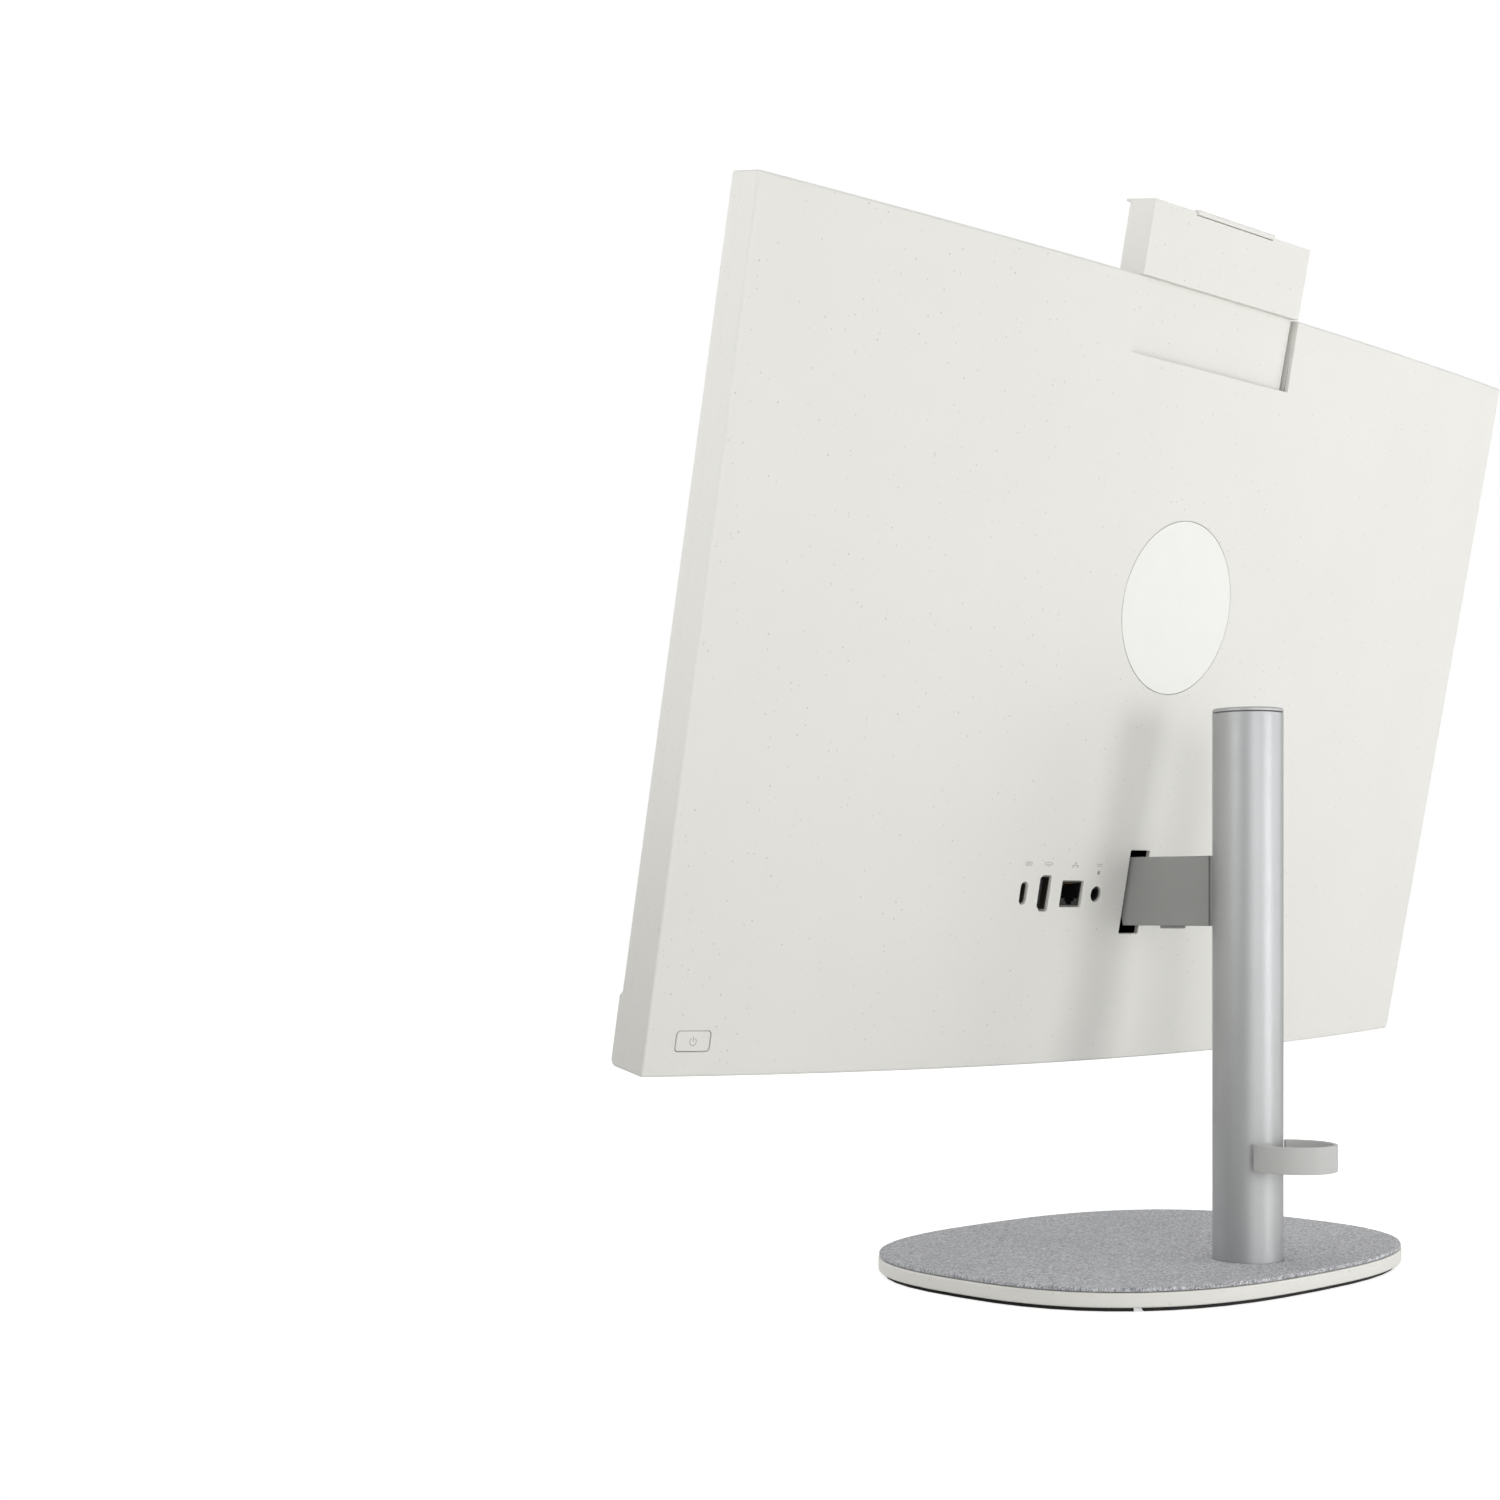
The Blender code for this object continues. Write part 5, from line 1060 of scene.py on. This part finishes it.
def make_camera():
    top = HEAD_H + CAMERA_RISE
    crown = BULGE_HIGH * (1 - (2 * CAMERA_HALF_U / HEAD_W) ** 2) - EDGE_SLOPE
    body_top = top - CAMERA_CAP_T - GAP
    body = block((-CAMERA_HALF_U, CAMERA_FRONT, HEAD_H + GAP), (CAMERA_HALF_U, crown, top), 0.45)
    tongue = block((-CAMERA_HALF_U + 1.5, CAMERA_FRONT + 4, TONGUE_LOW),
                   (CAMERA_HALF_U - 1.5, crown - TONGUE_SINK, HEAD_H + 3), 0.5)
    body = worked(body, [tongue], "UNION")
    room = block((-CAMERA_HALF_U + CAMERA_WALL, CAMERA_FRONT - 1, HEAD_H + GAP + CAMERA_WALL),
                 (CAMERA_HALF_U - CAMERA_WALL, crown - CAMERA_WALL, body_top - CAMERA_WALL), 0.4)
    body = worked(body, [room])
    seat_half = CAMERA_HALF_U - LID_MARGIN
    seat_rear = crown - LID_MARGIN
    seat = block((-seat_half - GAP, CAMERA_FRONT - 3, body_top), (seat_half + GAP, seat_rear, top + 2), 0)
    front_seat = block((-CAMERA_HALF_U - 1, CAMERA_FRONT - 3, body_top),
                       (CAMERA_HALF_U + 1, CAMERA_FRONT + 1.0, top + 2), 0)
    lip_seat = block((-LIP_HALF_U - 0.15, crown - 4, body_top + 0.45),
                     (LIP_HALF_U + 0.15, crown + 2, top + 2), 0)
    for tool in (seat, front_seat, lip_seat):
        body = worked(body, [tool])
    piece("camera_block", body, HEAD_AT, FLECKED_ABS, "camera", "off_white_plastic", "camera_housing")

    lid = block((-seat_half, CAMERA_FRONT, top - CAMERA_CAP_T),
                (seat_half, seat_rear - GAP, top - 0.03), 0.3)
    brow_line = [(CAMERA_FRONT - CAMERA_CAP_LIP, top - BROW_T), (CAMERA_FRONT - CAMERA_CAP_LIP, top),
                 (BROW_REAR, top), (BROW_REAR, top - CAMERA_CAP_T),
                 (CAMERA_FRONT, top - CAMERA_CAP_T), (CAMERA_FRONT, top - BROW_T)]
    brow = slab(brow_line, -CAMERA_HALF_U, CAMERA_HALF_U, "X", 0.15)
    lip_line = [(crown - 3, top - CAMERA_CAP_T + 0.3), (crown + 1.0, top - CAMERA_CAP_T + 0.5),
                (crown + 1.0, top + 0.45), (crown + 0.6, top + 0.95), (crown - 1.6, top + 1.0),
                (crown - 3, top - 0.1)]
    lip = slab(lip_line, -LIP_HALF_U, LIP_HALF_U, "X", 0.25)
    for part in (brow, lip):
        lid = worked(lid, [part], "UNION")
    piece("camera_lid", lid, HEAD_AT, FLECKED_ABS, "camera", "off_white_plastic", "camera_cap")

    low = HEAD_H + 2 * GAP + CAMERA_WALL
    high = body_top - CAMERA_WALL - GAP
    middle = (low + high) / 2
    inner = CAMERA_HALF_U - CAMERA_WALL - GAP
    panel = slab(rounded(inner, (high - low) / 2, 0.8, (0, middle)), CAMERA_FRONT, CAMERA_FRONT + 1.4,
                 "Y", 0.25)
    eyes = (("camera_eye", 0.0, "camera_lens"), ("infrared_eye", INFRARED_U, "infrared_lens"))
    holes = [drill(LENS_R + GAP, -4, 4, centre=(u, middle)) for _, u, _ in eyes]
    for u in (-MICROPHONE_U, MICROPHONE_U):
        holes.append(drill(0.5, -4, 4, 24, centre=(u, middle)))
    piece("camera_panel", worked(panel, holes), HEAD_AT, NYLON, "camera", "black_plastic", "camera_face")
    for name, u, stands_for in eyes:
        front = CAMERA_FRONT + 0.2
        barrel = turned([(0, front + 5.4), (LENS_R, front + 5.4), (LENS_R, front + 0.15),
                         (LENS_R - 0.15, front), (LENS_R - 0.5, front), (LENS_R - 1.1, front + 0.7),
                         (0, front + 0.7)], 64, "Y", (u, middle))
        piece(name + "_barrel", barrel, HEAD_AT, NYLON, "camera", "lens_glass", stands_for)
        dome = [(0, front + 0.1)]
        dome += [((LENS_R - 1.15) * math.sin(t), front + 0.1 + 0.5 * (1 - math.cos(t)))
                 for t in quarter(8)[1:]]
        dome += [(LENS_R - 1.15, front + 0.69), (0, front + 0.69)]
        piece(name + "_glass", turned(dome, 64, "Y", (u, middle)), HEAD_AT, LENS_GLASS, "camera",
              "lens_glass")
    lamp = turned([(0, CAMERA_FRONT - 0.02), (0.75, CAMERA_FRONT + 0.02), (0.8, CAMERA_FRONT + 0.2),
                   (0, CAMERA_FRONT + 0.2)], 32, "Y", (11.0, middle))
    piece("camera_light", lamp, HEAD_AT, LENS_GLASS, "camera", "lens_glass")


def finish_carried_nodes():
    """The CAD pieces that stay as they are get the finish of the real part, except that the chassis plate
    and hinge pieces are coated black as painted shade behind the arm's slot.
    """
    coats = {
        RUBBER: ("foot_strip_1", "foot_strip_2", "foot_strip_3", "foot_strip_4"),
        ZINC_STEEL: ("base_weight", "column_foot_plug", "column_bolt", "arm_anchor", "arm_pin"),
        SHADE_BLACK_STEEL: ("chassis_plate", "hinge_bracket_left", "hinge_bracket_right", "hinge_shaft",
                       "hinge_washer_left", "hinge_washer_right", "hinge_nut_left", "hinge_nut_right",
                       "lcd_panel"),
        NYLON: ("io_carrier", "camera_rail_left", "camera_rail_right", "storage_drive", "speaker_left",
                "speaker_right", "fan_housing", "fan_rotor"),
        NICKEL: ("wireless_card", "coin_cell", "processor"),
        BOARD: ("io_board", "button_board", "camera_board", "mainboard", "memory_module_1",
                "memory_module_2"),
        COPPER: ("cold_plate", "fin_stack", "heat_pipe"),
    }
    for coat, names in coats.items():
        for name in names:
            mesh = frame["nodes"][name].data
            mesh.materials.clear()
            mesh.materials.append(coat)


make_view()
make_studio()
make_base()
make_column()
make_arm()
make_clip()
make_cover()
make_front()
make_sockets()
make_marks()
make_power_button()
make_camera()
finish_carried_nodes()
